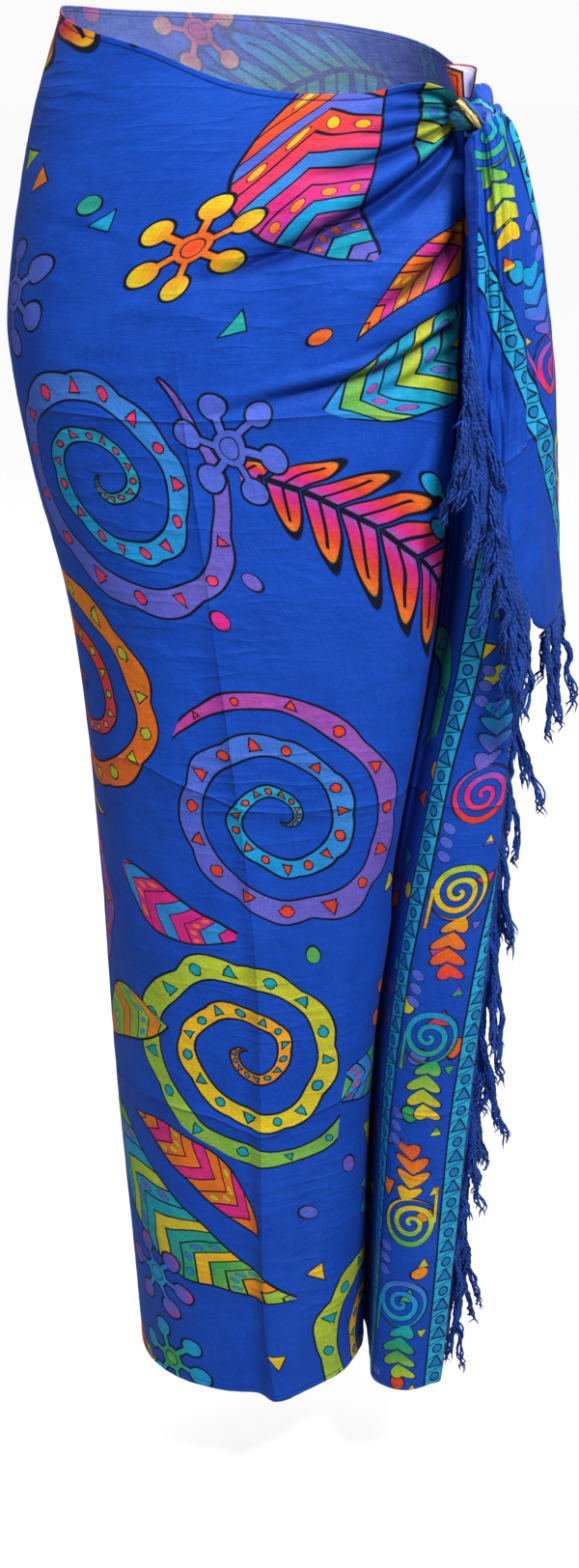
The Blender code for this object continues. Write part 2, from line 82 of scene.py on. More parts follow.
sections = {
    "columns": ("z", "endX", "endY", "rightX", "rightY", "backX", "backY", "leftX", "leftY",
                "frontX", "frontY", "foldX", "foldY", "valleyY"),
    "rows": (
        (-1.075, 0.135, -0.050, 0.1370, 0.000, 0.000, 0.106, -0.1290, -0.008,
         -0.020, -0.101, 0.0640, -0.008, 0.0135),
        (-0.820, 0.150, -0.050, 0.1520, 0.000, -0.002, 0.112, -0.1440, -0.004,
         -0.022, -0.108, 0.0670, -0.035, 0.0080),
        (-0.640, 0.157, -0.050, 0.1610, 0.000, -0.006, 0.117, -0.1516, -0.002,
         -0.024, -0.115, 0.0790, -0.055, 0.0000),
        (-0.430, 0.158, -0.045, 0.1640, 0.002, -0.012, 0.121, -0.1680, 0.000,
         -0.024, -0.120, 0.1070, -0.075, -0.0200),
        (-0.300, 0.155, -0.047, 0.1625, 0.002, -0.016, 0.124, -0.1960, 0.000,
         -0.024, -0.121, 0.1160, -0.080, -0.0420),
        (-0.206, 0.150, -0.050, 0.1580, 0.002, -0.020, 0.124, -0.2080, 0.000,
         -0.022, -0.121, 0.1185, -0.082, -0.0560),
        (-0.117, 0.138, -0.056, 0.1400, 0.000, -0.021, 0.118, -0.1955, 0.000,
         -0.020, -0.117, 0.1185, -0.082, -0.0660),
        (-0.054, 0.1270, -0.060, 0.1235, 0.000, -0.021, 0.109, -0.1810, 0.000,
         -0.020, -0.109, 0.1175, -0.079, -0.0680),
        (0.010, 0.1190, -0.062, 0.1050, 0.000, -0.022, 0.099, -0.1600, 0.000,
         -0.020, -0.098, 0.1040, -0.074, -0.0660))}

topEdge = {
    "columns": ("station", "z"),
    "rows": (
        (0.0, -0.0500), (0.5, -0.0400), (1.0, -0.0280), (1.5, -0.0080), (2.0, 0.0040),
        (2.5, 0.0080), (3.0, 0.0100), (3.35, -0.0030), (3.68, -0.0170), (4.0, -0.0420),
        (4.30, -0.0450), (4.58, -0.0385), (4.85, -0.0475), (5.0, -0.0560), (6.0, -0.0640))}

hemZ = -1.075
valleyTuck = 0.0015            # from the fold's edge back to the valley behind it
flatness = 2.16                # power of the rounded sides: 2 is an ellipse
curlTurn = math.radians(60.0)

# Each leg of the walk: its kind, where it starts and ends, and whether it is walked that way
legs = (("curl", "right", "end", False), ("quarter", "right", "back", True),
        ("quarter", "left", "back", False), ("quarter", "left", "front", True),
        ("quarter", "fold", "front", False), ("curl", "fold", "valley", True))


def tubeBase(station, z):
    station, z = np.broadcast_arrays(np.asarray(station, float), np.asarray(z, float))
    row = readTable(sections, z)
    row["valleyX"] = row["foldX"] - valleyTuck
    x = np.zeros(z.shape)
    y = np.zeros(z.shape)
    leg = np.clip(station.astype(int), 0, 5)
    for number, (kind, side, tip, forward) in enumerate(legs):
        f = station - number
        if not forward:
            f = 1.0 - f
        f = np.clip(f, 0.0, 1.0)
        if kind == "quarter":
            outward = np.clip(np.cos(f * math.pi / 2.0), 0.0, 1.0) ** (2.0 / flatness)
            onward = np.clip(np.sin(f * math.pi / 2.0), 0.0, 1.0) ** (2.0 / flatness)
            legX = row[tip + "X"] + (row[side + "X"] - row[tip + "X"]) * outward
            legY = row[side + "Y"] + (row[tip + "Y"] - row[side + "Y"]) * onward
        else:
            inward = (1.0 - np.cos(f * curlTurn)) / (1.0 - math.cos(curlTurn))
            onward = np.sin(f * curlTurn) / math.sin(curlTurn)
            legX = row[side + "X"] + (row[tip + "X"] - row[side + "X"]) * inward
            legY = row[side + "Y"] + (row[tip + "Y"] - row[side + "Y"]) * onward
        here = leg == number
        x = np.where(here, legX, x)
        y = np.where(here, legY, y)
    return np.stack([x, y, z], axis=-1)


# Grids of points, first along the cloth and then up it

def gridNormals(points):
    normal = np.cross(np.gradient(points, axis=0), np.gradient(points, axis=1))
    return normal / np.linalg.norm(normal, axis=2, keepdims=True)


def walked(points, axis):
    # distance walked over the grid from its first line
    steps = np.linalg.norm(np.diff(points, axis=axis), axis=2)
    start = np.zeros_like(np.take(steps, [0], axis=axis))
    return np.cumsum(np.concatenate([start, steps], axis=axis), axis=axis)


def noiseOver(a, b, seed):
    # soft noise between -1 and 1 at each pair of places
    flat = [noise.noise(Vector((u, v, seed))) for u, v in zip(a.ravel(), b.ravel())]
    return np.array(flat).reshape(a.shape)


def smoothLine(points, count):
    points = np.array(points, float)
    reach = np.concatenate([[0.0], np.cumsum(np.linalg.norm(np.diff(points, axis=0), axis=1))])
    at = np.linspace(0.0, reach[-1], count)
    return np.stack([smoothValue(reach, points[:, k], at) for k in (0, 1)], axis=-1)


foldShape = {
    "steps": 22,                # points along the line of each fold
    "floor": 0.0017,            # how round the bottom of a valley is
    "floorShare": 0.38,         # of its width, at most
    "valleyReach": 2.2,         # widths to each side
    "valleyGain": 1.35,
    "steepest": 0.998}          # below 1, so that the sides of a valley never stand upright


def foldHeight(a, b, fold):
    # height of one fold over the places (a, b): a rounded ridge along its line, steeper on the
    # right of the line's way, or a narrow valley between two rounded rolls
    line = smoothLine(fold["line"], foldShape["steps"])
    best = np.full(a.shape, np.inf)
    along = np.zeros(a.shape)
    off = np.zeros(a.shape)
    for k in range(len(line) - 1):
        start = line[k]
        step = line[k + 1] - start
        length = math.hypot(*step)
        f = np.clip(((a - start[0]) * step[0] + (b - start[1]) * step[1]) / length ** 2, 0.0, 1.0)
        offA = a - start[0] - f * step[0]
        offB = b - start[1] - f * step[1]
        away = np.hypot(offA, offB)
        side = np.sign(offA * step[1] - offB * step[0])
        nearer = away < best
        best = np.where(nearer, away, best)
        along = np.where(nearer, (k + f) / (len(line) - 1), along)
        off = np.where(nearer, away * side, off)
    width = fold["width"][0] + (fold["width"][1] - fold["width"][0]) * along
    size = np.interp(along, (0.0, 0.5, 1.0), fold["height"])
    if fold.get("valley", False):
        floor = np.minimum(foldShape["floor"], foldShape["floorShare"] * width)
        f = 1.0 - np.minimum(np.hypot(best, floor) / (foldShape["valleyReach"] * width), 1.0)
        return foldShape["valleyGain"] * size * (np.sqrt(1.0 - f * f * foldShape["steepest"]) - 1.0)
    lean = fold.get("lean", 0.0)
    spread = width * np.where(off > 0.0, 1.0 - lean, 1.0 + lean)
    return size * np.exp(-(off / spread) ** 2)


# Pieces

def newPiece(name, form, materials):
    # a finished bmesh as an object at the origin
    mesh = bpy.data.meshes.new(name)
    form.to_mesh(mesh)
    form.free()
    mesh.shade_smooth()
    for material in materials:
        mesh.materials.append(material)
    piece = bpy.data.objects.new(name, mesh)
    bpy.context.collection.objects.link(piece)
    return piece


def takePlace(piece, node):
    # the garment is one body, so every piece rides on it, in place of its CAD node
    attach(piece, "root")
    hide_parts(node)


def makeSheet(name, node, points, maps, paintedFoldShade, materials):
    # a grid moved onto its points. Each map is a UV map in metres or in creases, and the
    # attribute is painted shade, darker where the place lies deep in a fold or a recess
    columns = points.shape[0] - 1
    rows = points.shape[1] - 1
    form = bmesh.new()
    bmesh.ops.create_grid(form, x_segments=columns, y_segments=rows, size=0.5)
    places = {}
    depth = form.verts.layers.float.new("paintedFoldShade")
    for vertex in form.verts:
        place = (round((vertex.co.x + 0.5) * columns), round((vertex.co.y + 0.5) * rows))
        places[vertex] = place
        vertex.co = points[place]
        vertex[depth] = paintedFoldShade[place]
    for label, values in maps.items():
        layer = form.loops.layers.uv.new(label)
        for quad in form.faces:
            for loop in quad.loops:
                loop[layer].uv = values[places[loop.vert]]
    piece = newPiece(name, form, materials)
    wall = piece.modifiers.new("wall", "SOLIDIFY")
    wall.thickness = clothLook["wall"]
    wall.offset = -1.0
    wall.material_offset = 1
    takePlace(piece, node)
    return piece


# Shader formulas

class Wire:
    # one value in a node tree, so that a pattern can be written as its formula

    def __init__(self, tree, socket):
        self.tree = tree
        self.socket = socket

    def math(self, operation, *others, clamp=False):
        node = addNode(self.tree, "ShaderNodeMath")
        node.operation = operation
        node.use_clamp = clamp
        for slot, value in zip(node.inputs, (self,) + others):
            plug(self.tree, value, slot)
        return Wire(self.tree, node.outputs[0])

    def __add__(self, other):
        return self.math("ADD", other)

    def __sub__(self, other):
        return self.math("SUBTRACT", other)

    def __mul__(self, other):
        return self.math("MULTIPLY", other)

    def __truediv__(self, other):
        return self.math("DIVIDE", other)

    def __abs__(self):
        return self.math("ABSOLUTE")

    def above(self, other):
        return self.math("GREATER_THAN", other)

    def below(self, other):
        return self.math("LESS_THAN", other)

    def least(self, other):
        return self.math("MINIMUM", other)

    def most(self, other):
        return self.math("MAXIMUM", other)

    def floor(self):
        return self.math("FLOOR")

    def root(self):
        return self.math("SQRT")

    def inside(self, soft):
        # 1 where the value is below zero and 0 above, over a soft edge
        return self.math("MULTIPLY_ADD", -1.0 / soft, 0.5, clamp=True)

    def past(self, start):
        # what lies past the start, and at most 1
        return self.math("SUBTRACT", start, clamp=True)

    def flipped(self):
        return self.math("MULTIPLY_ADD", -1.0, 1.0)

    def blend(self, other, share):
        return self + self.math("MULTIPLY_ADD", -1.0, other) * share


def distance(x, y):
    return (x * x + y * y).root()


def angleOf(x, y):
    return y.math("ARCTAN2", x)


def addNode(tree, kind):
    node = tree.nodes.new(kind)
    count = len(tree.nodes)
    node.location = (count % 24 * 180.0, count // 24 * -220.0)
    return node


def plug(tree, value, slot):
    if isinstance(value, Wire):
        tree.links.new(value.socket, slot)
    elif isinstance(value, bpy.types.NodeSocket):
        tree.links.new(value, slot)
    else:
        slot.default_value = value


def newGroup(name, inputs, outputs):
    # a node group with its sockets: vectors and colours start plain, numbers at their value
    tree = bpy.data.node_groups.new(name, "ShaderNodeTree")
    for label, kind, value in inputs:
        socket = tree.interface.new_socket(
            name=label, in_out="INPUT", socket_type="NodeSocket" + kind)
        if value is not None:
            socket.default_value = value
    for label, kind in outputs:
        tree.interface.new_socket(name=label, in_out="OUTPUT", socket_type="NodeSocket" + kind)
    return tree, addNode(tree, "NodeGroupInput"), addNode(tree, "NodeGroupOutput")


def useGroup(tree, group):
    node = addNode(tree, "ShaderNodeGroup")
    node.node_tree = group
    return node


def split(tree, vector):
    node = addNode(tree, "ShaderNodeSeparateXYZ")
    plug(tree, vector, node.inputs[0])
    return [Wire(tree, socket) for socket in node.outputs]


def vectorMath(tree, operation, *values):
    node = addNode(tree, "ShaderNodeVectorMath")
    node.operation = operation
    for slot, value in zip(node.inputs, values):
        plug(tree, value, slot)
    return node.outputs["Value" if operation == "DOT_PRODUCT" else "Vector"]


def rotated(tree, vector, degrees):
    node = addNode(tree, "ShaderNodeVectorRotate")
    node.rotation_type = "Z_AXIS"
    plug(tree, vector, node.inputs["Vector"])
    node.inputs["Angle"].default_value = math.radians(degrees)
    return node.outputs[0]


def mixColours(tree, first, second, share, how="MIX"):
    node = addNode(tree, "ShaderNodeMix")
    node.data_type = "RGBA"
    node.blend_type = how
    plug(tree, share, node.inputs[0])
    plug(tree, first, node.inputs[6])
    plug(tree, second, node.inputs[7])
    return node.outputs[2]


def ramp(tree, colours, at, easing="LINEAR"):
    # colours by their stops, from the first to the last
    node = addNode(tree, "ShaderNodeValToRGB")
    node.color_ramp.interpolation = easing
    stops = node.color_ramp.elements
    for element, (stop, colour) in zip((stops[0], stops[1]), (colours[0], colours[-1])):
        element.position = stop
        element.color = colour + (1.0,)
    for stop, colour in colours[1:-1]:
        stops.new(stop).color = colour + (1.0,)
    plug(tree, at, node.inputs[0])
    return node.outputs[0]


def cells(tree, place, spacing, loose):
    # nearest of a loose scatter of motif centres: how far, where, and three numbers of its own
    node = addNode(tree, "ShaderNodeTexVoronoi")
    node.voronoi_dimensions = "2D"
    node.feature = "F1"
    plug(tree, place, node.inputs["Vector"])
    node.inputs["Scale"].default_value = 1.0 / spacing
    node.inputs["Randomness"].default_value = loose
    away = Wire(tree, node.outputs["Distance"]) * spacing
    return away, node.outputs["Position"], node.outputs["Color"]


def grain(tree, place, scale, detail=2.0):
    node = addNode(tree, "ShaderNodeTexNoise")
    plug(tree, place, node.inputs["Vector"])
    node.inputs["Scale"].default_value = scale
    node.inputs["Detail"].default_value = detail
    return Wire(tree, node.outputs["Fac"])


def newMaterial(name, finish):
    # plain numbers and colours are set on the shader's own sockets
    material = bpy.data.materials.new(name)
    material.use_nodes = True
    shader = material.node_tree.nodes["Principled BSDF"]
    for label, value in finish.items():
        shader.inputs[label].default_value = value
    return material, material.node_tree, shader


def addBump(tree, shader, height, strength=1.0, distance=1.0):
    bump = addNode(tree, "ShaderNodeBump")
    bump.inputs["Strength"].default_value = strength
    bump.inputs["Distance"].default_value = distance
    plug(tree, height, bump.inputs["Height"])
    plug(tree, bump.outputs[0], shader.inputs["Normal"])


def objectPlace(tree):
    return addNode(tree, "ShaderNodeTexCoord").outputs["Object"]


def uvPlace(tree, label):
    node = addNode(tree, "ShaderNodeUVMap")
    node.uv_map = label
    return node.outputs[0]


# The print. Every length inside the group is in centimetres, and a tone is a place in the
# round of colours.

printLook = {
    "ground": (0.0085, 0.0730, 0.5000, 1.0),
    "ink": (0.0060, 0.0060, 0.0160, 1.0),
    "band": (0.0200, 0.4300, 0.7200, 1.0),
    "bandFigure": (0.0120, 0.2200, 0.5600, 1.0),
    "bandPlaces": (4.8, 12.0),       # middle of each border from the fringed end
    "bandWidth": 1.85,
    "bandStep": 1.42,                # from one triangle or circle to the next
    "line": 0.095,                   # half width of an outline
    "soft": 0.045,
    "swayScale": 0.16,
    "sway": (1.7, 1.7, 0.0),         # how far the hand drawn motifs bend
    "layoutTurn": 27.0,              # degrees from the edges of the cloth
    "bigSpacing": 20.6,
    "bigLoose": 0.30,
    "bigSize": 9.8,
    "middleSpacing": 11.0,
    "middleLoose": 0.50,
    "middleSize": 4.8,
    "smallSpacing": 4.6,
    "smallLoose": 0.80,
    "smallSize": 0.80,
    "quietTone": 0.86,               # blue on blue, with its outline alone
    "quietShare": 0.15,
    "figureStep": 12.4,              # between the figures in the border
    "figureSize": 2.35,
    "colours": (
        (0.00, (0.780, 0.022, 0.250)), (0.10, (0.850, 0.055, 0.020)),
        (0.22, (0.930, 0.200, 0.010)), (0.35, (0.930, 0.600, 0.012)),
        (0.46, (0.420, 0.620, 0.035)), (0.55, (0.045, 0.400, 0.090)),
        (0.65, (0.010, 0.400, 0.480)), (0.76, (0.012, 0.330, 0.720)),
        (0.85, (0.075, 0.150, 0.680)), (0.93, (0.200, 0.110, 0.520)),
        (1.00, (0.780, 0.022, 0.250)))}


def frond(x, y, size, laps):
    # a curled frond: a band wound round its centre, with leaflets on its outer side
    r = distance(x, y) / size
    turn = angleOf(x, y) / (2.0 * math.pi)
    pitch = 1.0 / (laps + 0.5)
    wound = r / pitch - turn
    lap = wound.floor()
    side = wound - lap - 0.5
    along = lap + turn
    ends = ((along * -2.2 + 2.2 * laps).least(1.0).least(along * 3.0 + 1.2)).most(0.0)
    width = (along * 0.080 + 0.125) * ends.root()
    lobes = abs((along * (math.pi * 9.0)).math("SINE")) * along.least(2.4).most(0.0) * 0.075
    width = width + lobes * side.above(0.0) * ends
    gone = ends.below(0.001)
    edge = (abs(side) - width) * (pitch * size) + gone * 5.0
    return edge, along, side * (pitch * size), width * (pitch * size), r * size


def oddOnes(number):
    return number.math("MODULO", 2.0).math("ABSOLUTE").above(0.5)


def ornaments(along, across, width, reach, perLap):
    # circles and triangles in turn, inside the band of a frond
    place = along * perLap
    number = place.floor()
    dx = (place - number - 0.5) * reach * (2.0 * math.pi / perLap)
    size = width * 0.48
    circle = distance(dx, across) - size
    triangle = (abs(dx) * 0.87 + across * 0.5).most(across * -1.0) - size * 0.72
    return circle.blend(triangle, oddOnes(number))


def plume(x, y, size, pairs):
    # a feathered leaf on a bent spine, with round ended leaflets that lean forward
    x = x / size
    y = abs(y / size + x * x * 0.28 - 0.12)
    place = (x - y * 0.62) * pairs
    number = place.floor()
    across = place - number - 0.5
    middle = (number + 0.5) / pairs
    reach = (middle * middle * -1.0 + 1.0).most(0.0).root() * 0.50 + 0.001
    out = y / reach
    edge = distance(across / 0.45, out) - 1.0
    edge = edge * (0.42 * size / pairs)
    rib = (abs(across) - 0.05).most(out - 0.72) * (size / pairs)
    spine = (y - 0.022).most(abs(x) - 0.9) * size
    return edge, out, rib.least(spine)


def blossom(x, y, size, petals):
    # round ended petals on stalks about a round heart
    r = distance(x, y) / size
    turn = angleOf(x, y) * (petals / (2.0 * math.pi))
    fold = (turn - turn.floor() - 0.5) * (2.0 * math.pi / petals)
    px = r * fold.math("COSINE")
    py = r * fold.math("SINE")
    petal = distance(px - 0.72, py) - 0.23
    stalk = (abs(py) - 0.075).most(px - 0.72)
    edge = petal.least(stalk).least(r - 0.30) * size
    heart = abs(r - 0.17) * size - 0.05
    return edge, r, heart


def leaf(x, y, size, broad, chevrons):
    # a pointed leaf on a bent spine, with chevrons; every third one has a row of spots
    x = x / size
    y = abs(y / size + x * x * 0.30 - 0.10)
    half = (x * x * -1.0 + 1.0) * (x * 0.10 + broad)
    edge = y - half
    place = (x + y * 0.85) * chevrons
    number = place.floor()
    across = place - number - 0.5
    turn = number.math("MODULO", 3.0).math("ABSOLUTE")
    spot = y / half.most(0.01) * 2.2
    ring = distance(across, spot - spot.floor() - 0.5) - 0.26
    spotted = turn.above(1.5)
    rib = (abs(across) * -1.0 + 0.45).least(abs(ring) + spotted.flipped() * 2.0)
    stripe = turn.above(0.5) + ring.below(0.0) * spotted
    return edge * size * 0.9, stripe, rib * (size / chevrons)


class Drawing:
    # the motifs laid one over another: how far each place is filled and inked, and its tone

    def __init__(self, tree, look, place, shiftX):
        self.tree = tree
        self.look = look
        self.place = place
        self.shiftX = shiftX
        self.fieldStart = look["bandPlaces"][1] + 1.2
        self.fill = None
        self.ink = None
        self.tone = None

    def lay(self, edge, drawn, tone, where):
        # one more motif over what is there, filled inside its edge and inked where it is drawn
        shape = edge.inside(self.look["soft"]) * where
        outline = drawn.inside(self.look["soft"]) * where
        if self.fill is None:
            self.fill, self.ink, self.tone = shape, outline, tone
            return
        self.tone = self.tone.blend(tone, shape)
        self.ink = (self.ink * shape.flipped()).most(outline)
        self.fill = self.fill.most(shape)

    def scatter(self, kind, place):
        return cells(self.tree, place, self.look[kind + "Spacing"], self.look[kind + "Loose"])

    def motif(self, kind):
        # the nearest motif of one kind: its centre, two numbers of its own, and the place as
        # seen from it, turned by its own angle
        centre, chance = self.scatter(kind, self.place)[1:]
        one, two, three = split(self.tree, chance)
        px, py = split(self.tree, self.place)[:2]
        cx, cy = split(self.tree, centre)[:2]
        angle = one * (2.0 * math.pi)
        cosine = angle.math("COSINE")
        sine = angle.math("SINE")
        dx = px - cx
        dy = py - cy
        return centre, two, three, dx * cosine + dy * sine, dy * cosine - dx * sine

    def beyond(self, centre, least):
        # 1 where a motif's centre lies further than that from the fringed end
        centreX = split(self.tree, rotated(self.tree, centre, -self.look["layoutTurn"]))[0]
        return (centreX - self.shiftX).above(least)

    def bigShown(self, centre):
        return self.beyond(centre, self.fieldStart + self.look["bigSize"] * 1.05)

    def offBig(self, centre, least):
        # 1 where no big motif is drawn within that distance
        toBig, bigCentre = self.scatter("big", centre)[:2]
        return toBig.above(least).most(self.bigShown(bigCentre).flipped())

    def middleShown(self, centre):
        free = self.offBig(centre, self.look["bigSize"] + self.look["middleSize"] * 0.30)
        return free * self.beyond(centre, self.fieldStart + self.look["middleSize"])


def drawBig(drawing, look):
    # fronds with ornaments, plumes with a blossom, and leaves with a blossom and a small leaf
    line = look["line"]
    size = look["bigSize"]
    centre, kind, tone, x, y = drawing.motif("big")
    clear = drawing.bigShown(centre)

    where = kind.below(0.42) * clear
    edge, along, across, width, reach = frond(x, y, size, 2.3)
    drawing.lay(edge, abs(edge) - line, tone + along * 0.13, where)
    small = ornaments(along, across, width, reach, 15.0)
    drawing.lay(small.most(edge), (abs(small) - 0.6 * line).most(edge), tone + 0.42, where)

    where = kind.above(0.70) * clear
    edge, out, rib = plume(x, y, size * 1.15, 4.6)
    drawing.lay(edge, (abs(edge) - line).least(rib.most(edge)), tone + out * 0.34, where)
    edge, r, heart = blossom(x - 1.6, y - 7.3, 3.6, 5.0)
    drawing.lay(edge, (abs(edge) - line).least(heart), tone + r * 0.30 + 0.55, where)

    where = (abs(kind - 0.56) - 0.14).below(0.0) * clear
    edge, stripe, rib = leaf(x, y, size * 1.2, 0.29, 8.0)
    drawing.lay(edge, (abs(edge) - line).least((rib - 0.3 * line).most(edge)),
                tone + stripe * 0.24 + x * 0.016, where)
    edge, r, heart = blossom(x + 2.2, y - 6.6, 3.9, 6.0)
    drawing.lay(edge, (abs(edge) - line).least(heart), tone + r * 0.30 + 0.30, where)
    edge, stripe, rib = leaf(x * -1.0 + 1.0, y * -1.0 - 6.2, 6.3, 0.34, 5.0)
    drawing.lay(edge, (abs(edge) - line).least((rib - 0.2 * line).most(edge)),
                tone + stripe * 0.20 + 0.62, where)


def drawMiddle(drawing, look):
    # blossoms and leaves, where no big motif is near
    line = look["line"]
    size = look["middleSize"]
    centre, kind, tone, x, y = drawing.motif("middle")
    clear = drawing.middleShown(centre)
    edge, r, heart = blossom(x, y, size * 0.92, 6.0)
    quiet = kind.below(look["quietShare"])
    drawing.lay(edge, (abs(edge) - line).least(heart),
                (tone + r * 0.28) * quiet.flipped() + quiet * look["quietTone"],
                kind.below(0.45) * clear)
    edge, stripe, rib = leaf(x, y, size * 1.15, 0.36, 4.5)
    drawing.lay(edge, (abs(edge) - line).least(rib.most(edge)), tone + stripe * 0.22,
                kind.above(0.45) * clear)


def drawSmall(drawing, look):
    # triangles and drops in what is left
    size = look["smallSize"]
    centre, kind, tone, x, y = drawing.motif("small")
    toMiddle, middleCentre = drawing.scatter("middle", centre)[:2]
    hidden = drawing.middleShown(middleCentre).flipped()
    free = toMiddle.above(look["middleSize"] + 0.6).most(hidden)
    clear = drawing.offBig(centre, look["bigSize"] + 1.0) * free
    clear = clear * drawing.beyond(centre, look["bandPlaces"][0] + 1.6) * kind.above(0.20)
    triangle = (abs(x) * 0.87 + y * 0.5).most(y * -1.0) - 0.62 * size
    drop = distance(x, y) - (y * 0.45 + 0.75 * size)
    edge = triangle.blend(drop, kind.above(0.62))
    drawing.lay(edge, abs(edge) - 0.6 * look["line"], tone, clear)


def drawBorderFigures(drawing, look, fromEnd, up):
    # between the two borders: a curled fern with a sprig, drops and triangles
    line = look["line"]
    step = look["figureStep"]
    size = look["figureSize"]
    number = (up / step).floor()
    white = addNode(drawing.tree, "ShaderNodeTexWhiteNoise")
    white.noise_dimensions = "1D"
    plug(drawing.tree, number, white.inputs["W"])
    own = Wire(drawing.tree, white.outputs["Value"])
    middle = 0.5 * sum(look["bandPlaces"])
    lx = fromEnd - middle
    ly = up - (number + 0.5) * step
    room = middle - look["bandPlaces"][0] - 0.5 * look["bandWidth"] - 0.1
    where = (abs(lx) - room).inside(look["soft"])
    flip = own.above(0.5) * 2.0 - 1.0
    cy = ly * flip - 2.3
    cx = lx * flip - 0.15
    r = distance(cx, cy) / size
    wound = r * 2.4 - angleOf(cx, cy) / (2.0 * math.pi) - 0.25
    side = abs(wound - wound.floor() - 0.5)
    curl = (side - (r * 0.10 + 0.20)).most(r - 1.0) * (size / 2.4)
    sprig = plume((cy + 4.5) * -1.0, cx + 0.5, 2.9, 2.2)[0]
    stalk = (abs(cx - 2.0) - 0.16).most(abs(cy + 1.6) - 1.7)
    edge = curl.least(sprig).least(stalk)
    drawing.lay(edge, abs(edge) - 0.35 * line, own * 3.0 + cy * 0.042, where)

    between = (up / step + 0.5).floor()
    ty = up - between * step
    dx = lx - 1.75
    near = ty - (ty / 1.15).math("ROUND").most(-1.0).least(1.0) * 1.15
    near = near - dx * 0.35
    drops = (near * near * 1.6 + dx * dx).root() - (dx * 0.30 + 0.52)
    drawing.lay(drops, abs(drops) - 0.35 * line, look["quietTone"], where)
    hy = ly * flip + 0.6
    first = (abs(lx + 1.5) * 0.87 + ty * 0.5).most(ty * -1.0) - 0.30
    second = (abs(lx + 1.9) * 0.87 - hy * 0.5).most(hy) - 0.27
    edge = first.least(second)
    drawing.lay(edge, abs(edge) - 0.4 * line, own * 7.0 + 0.35, where)


def drawBorder(tree, look, colour, ink, across, up):
    # a band of triangles and circles in turn, with slanting bars between them
    step = look["bandStep"]
    edge = abs(across) - 0.5 * look["bandWidth"]
    number = (up / step).floor()
    dx = up - (number + 0.5) * step
    circle = distance(dx, across) - 0.40
    triangle = (abs(across) * 0.80 + dx * 0.5).most(dx * -1.0) - 0.36
    shape = circle.blend(triangle, oddOnes(number))
    bars = abs(abs(dx + across * 0.35) - 0.5 * step) - 0.045
    drawn = (abs(shape) - 0.065).least(bars).most(edge).least(abs(edge) - look["line"])
    band = edge.inside(look["soft"])
    colour = mixColours(tree, colour, look["band"], band)
    colour = mixColours(tree, colour, look["bandFigure"], shape.inside(look["soft"]) * band)
    return colour, (ink * band.flipped()).most(drawn.inside(look["soft"]))


def buildPrint(look):
    tree, start, finish = newGroup(
        "sarongPrint", [("Cloth", "Vector", None), ("Layout", "Vector", None)],
        [("Color", "Color"), ("Ink", "Float")])
    cloth = vectorMath(tree, "MULTIPLY", start.outputs["Cloth"], (100.0, 100.0, 100.0))
    sway = addNode(tree, "ShaderNodeTexNoise")
    plug(tree, cloth, sway.inputs["Vector"])
    sway.inputs["Scale"].default_value = look["swayScale"]
    sway.inputs["Detail"].default_value = 1.0
    moved = vectorMath(tree, "MULTIPLY_ADD", sway.outputs["Color"], look["sway"], cloth)
    moved = vectorMath(tree, "ADD", moved, start.outputs["Layout"])
    fromEnd, up = split(tree, cloth)[:2]
    drawing = Drawing(tree, look, rotated(tree, moved, look["layoutTurn"]),
                      split(tree, start.outputs["Layout"])[0])
    drawBig(drawing, look)
    drawMiddle(drawing, look)
    drawSmall(drawing, look)
    drawBorderFigures(drawing, look, fromEnd, up)
    tone = ramp(tree, look["colours"], drawing.tone - drawing.tone.floor())
    colour = mixColours(tree, look["ground"], tone, drawing.fill)
    ink = drawing.ink
    for place in look["bandPlaces"]:
        colour, ink = drawBorder(tree, look, colour, ink, fromEnd - place, up)
    plug(tree, mixColours(tree, colour, look["ink"], ink), finish.inputs["Color"])
    plug(tree, ink, finish.inputs["Ink"])
    return tree


# Weave: slubby threads both ways, soft crumples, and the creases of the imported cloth

clothLook = {
    "wall": 0.0007,
    # noises along and across the cloth, as waves in a metre, and their heights
    "threads": (260.0, 1500.0),
    "threadHeight": 0.00018,
    "slubs": (45.0, 620.0),
    "slubHeight": 0.00024,
    "blotches": (22.0, 22.0),
    "crumples": (46.0, 58.0),
    "crumpleHeight": 0.0016,
    "ridges": (9.0, 42.0),
    "ridgeHeight": 0.0007,
    "ridgePatches": (5.0, 6.0),
    "creasePitch": 0.28,
    "creasePatches": (7.0, 7.0),
    "creases": ((0.0032, 0.0008), (0.0170, 0.0016)),     # half width and height of each rise
    "reverse": (0.30, 0.36, 0.68, 1.0),
    "reverseShare": 0.55,
    "betweenThreads": (0.45, 0.50, 0.66, 1.0),
    "stitch": (0.005, 0.020, 0.170, 1.0),
    "stitchPlace": 0.0042,
    "stitchHalf": 0.0004,
    "stitchDepth": 0.0004,
    # painted shade, multiplied into the colour deep in folds
    "paintedShadeTint": (0.13, 0.17, 0.32, 1.0),
    "finish": {"Roughness": 0.60, "Specular IOR Level": 0.26,
               "Specular Tint": (0.35, 0.60, 1.0, 1.0), "Sheen Weight": 0.04,
               "Sheen Roughness": 0.45, "Sheen Tint": (0.45, 0.65, 1.0, 1.0)}}


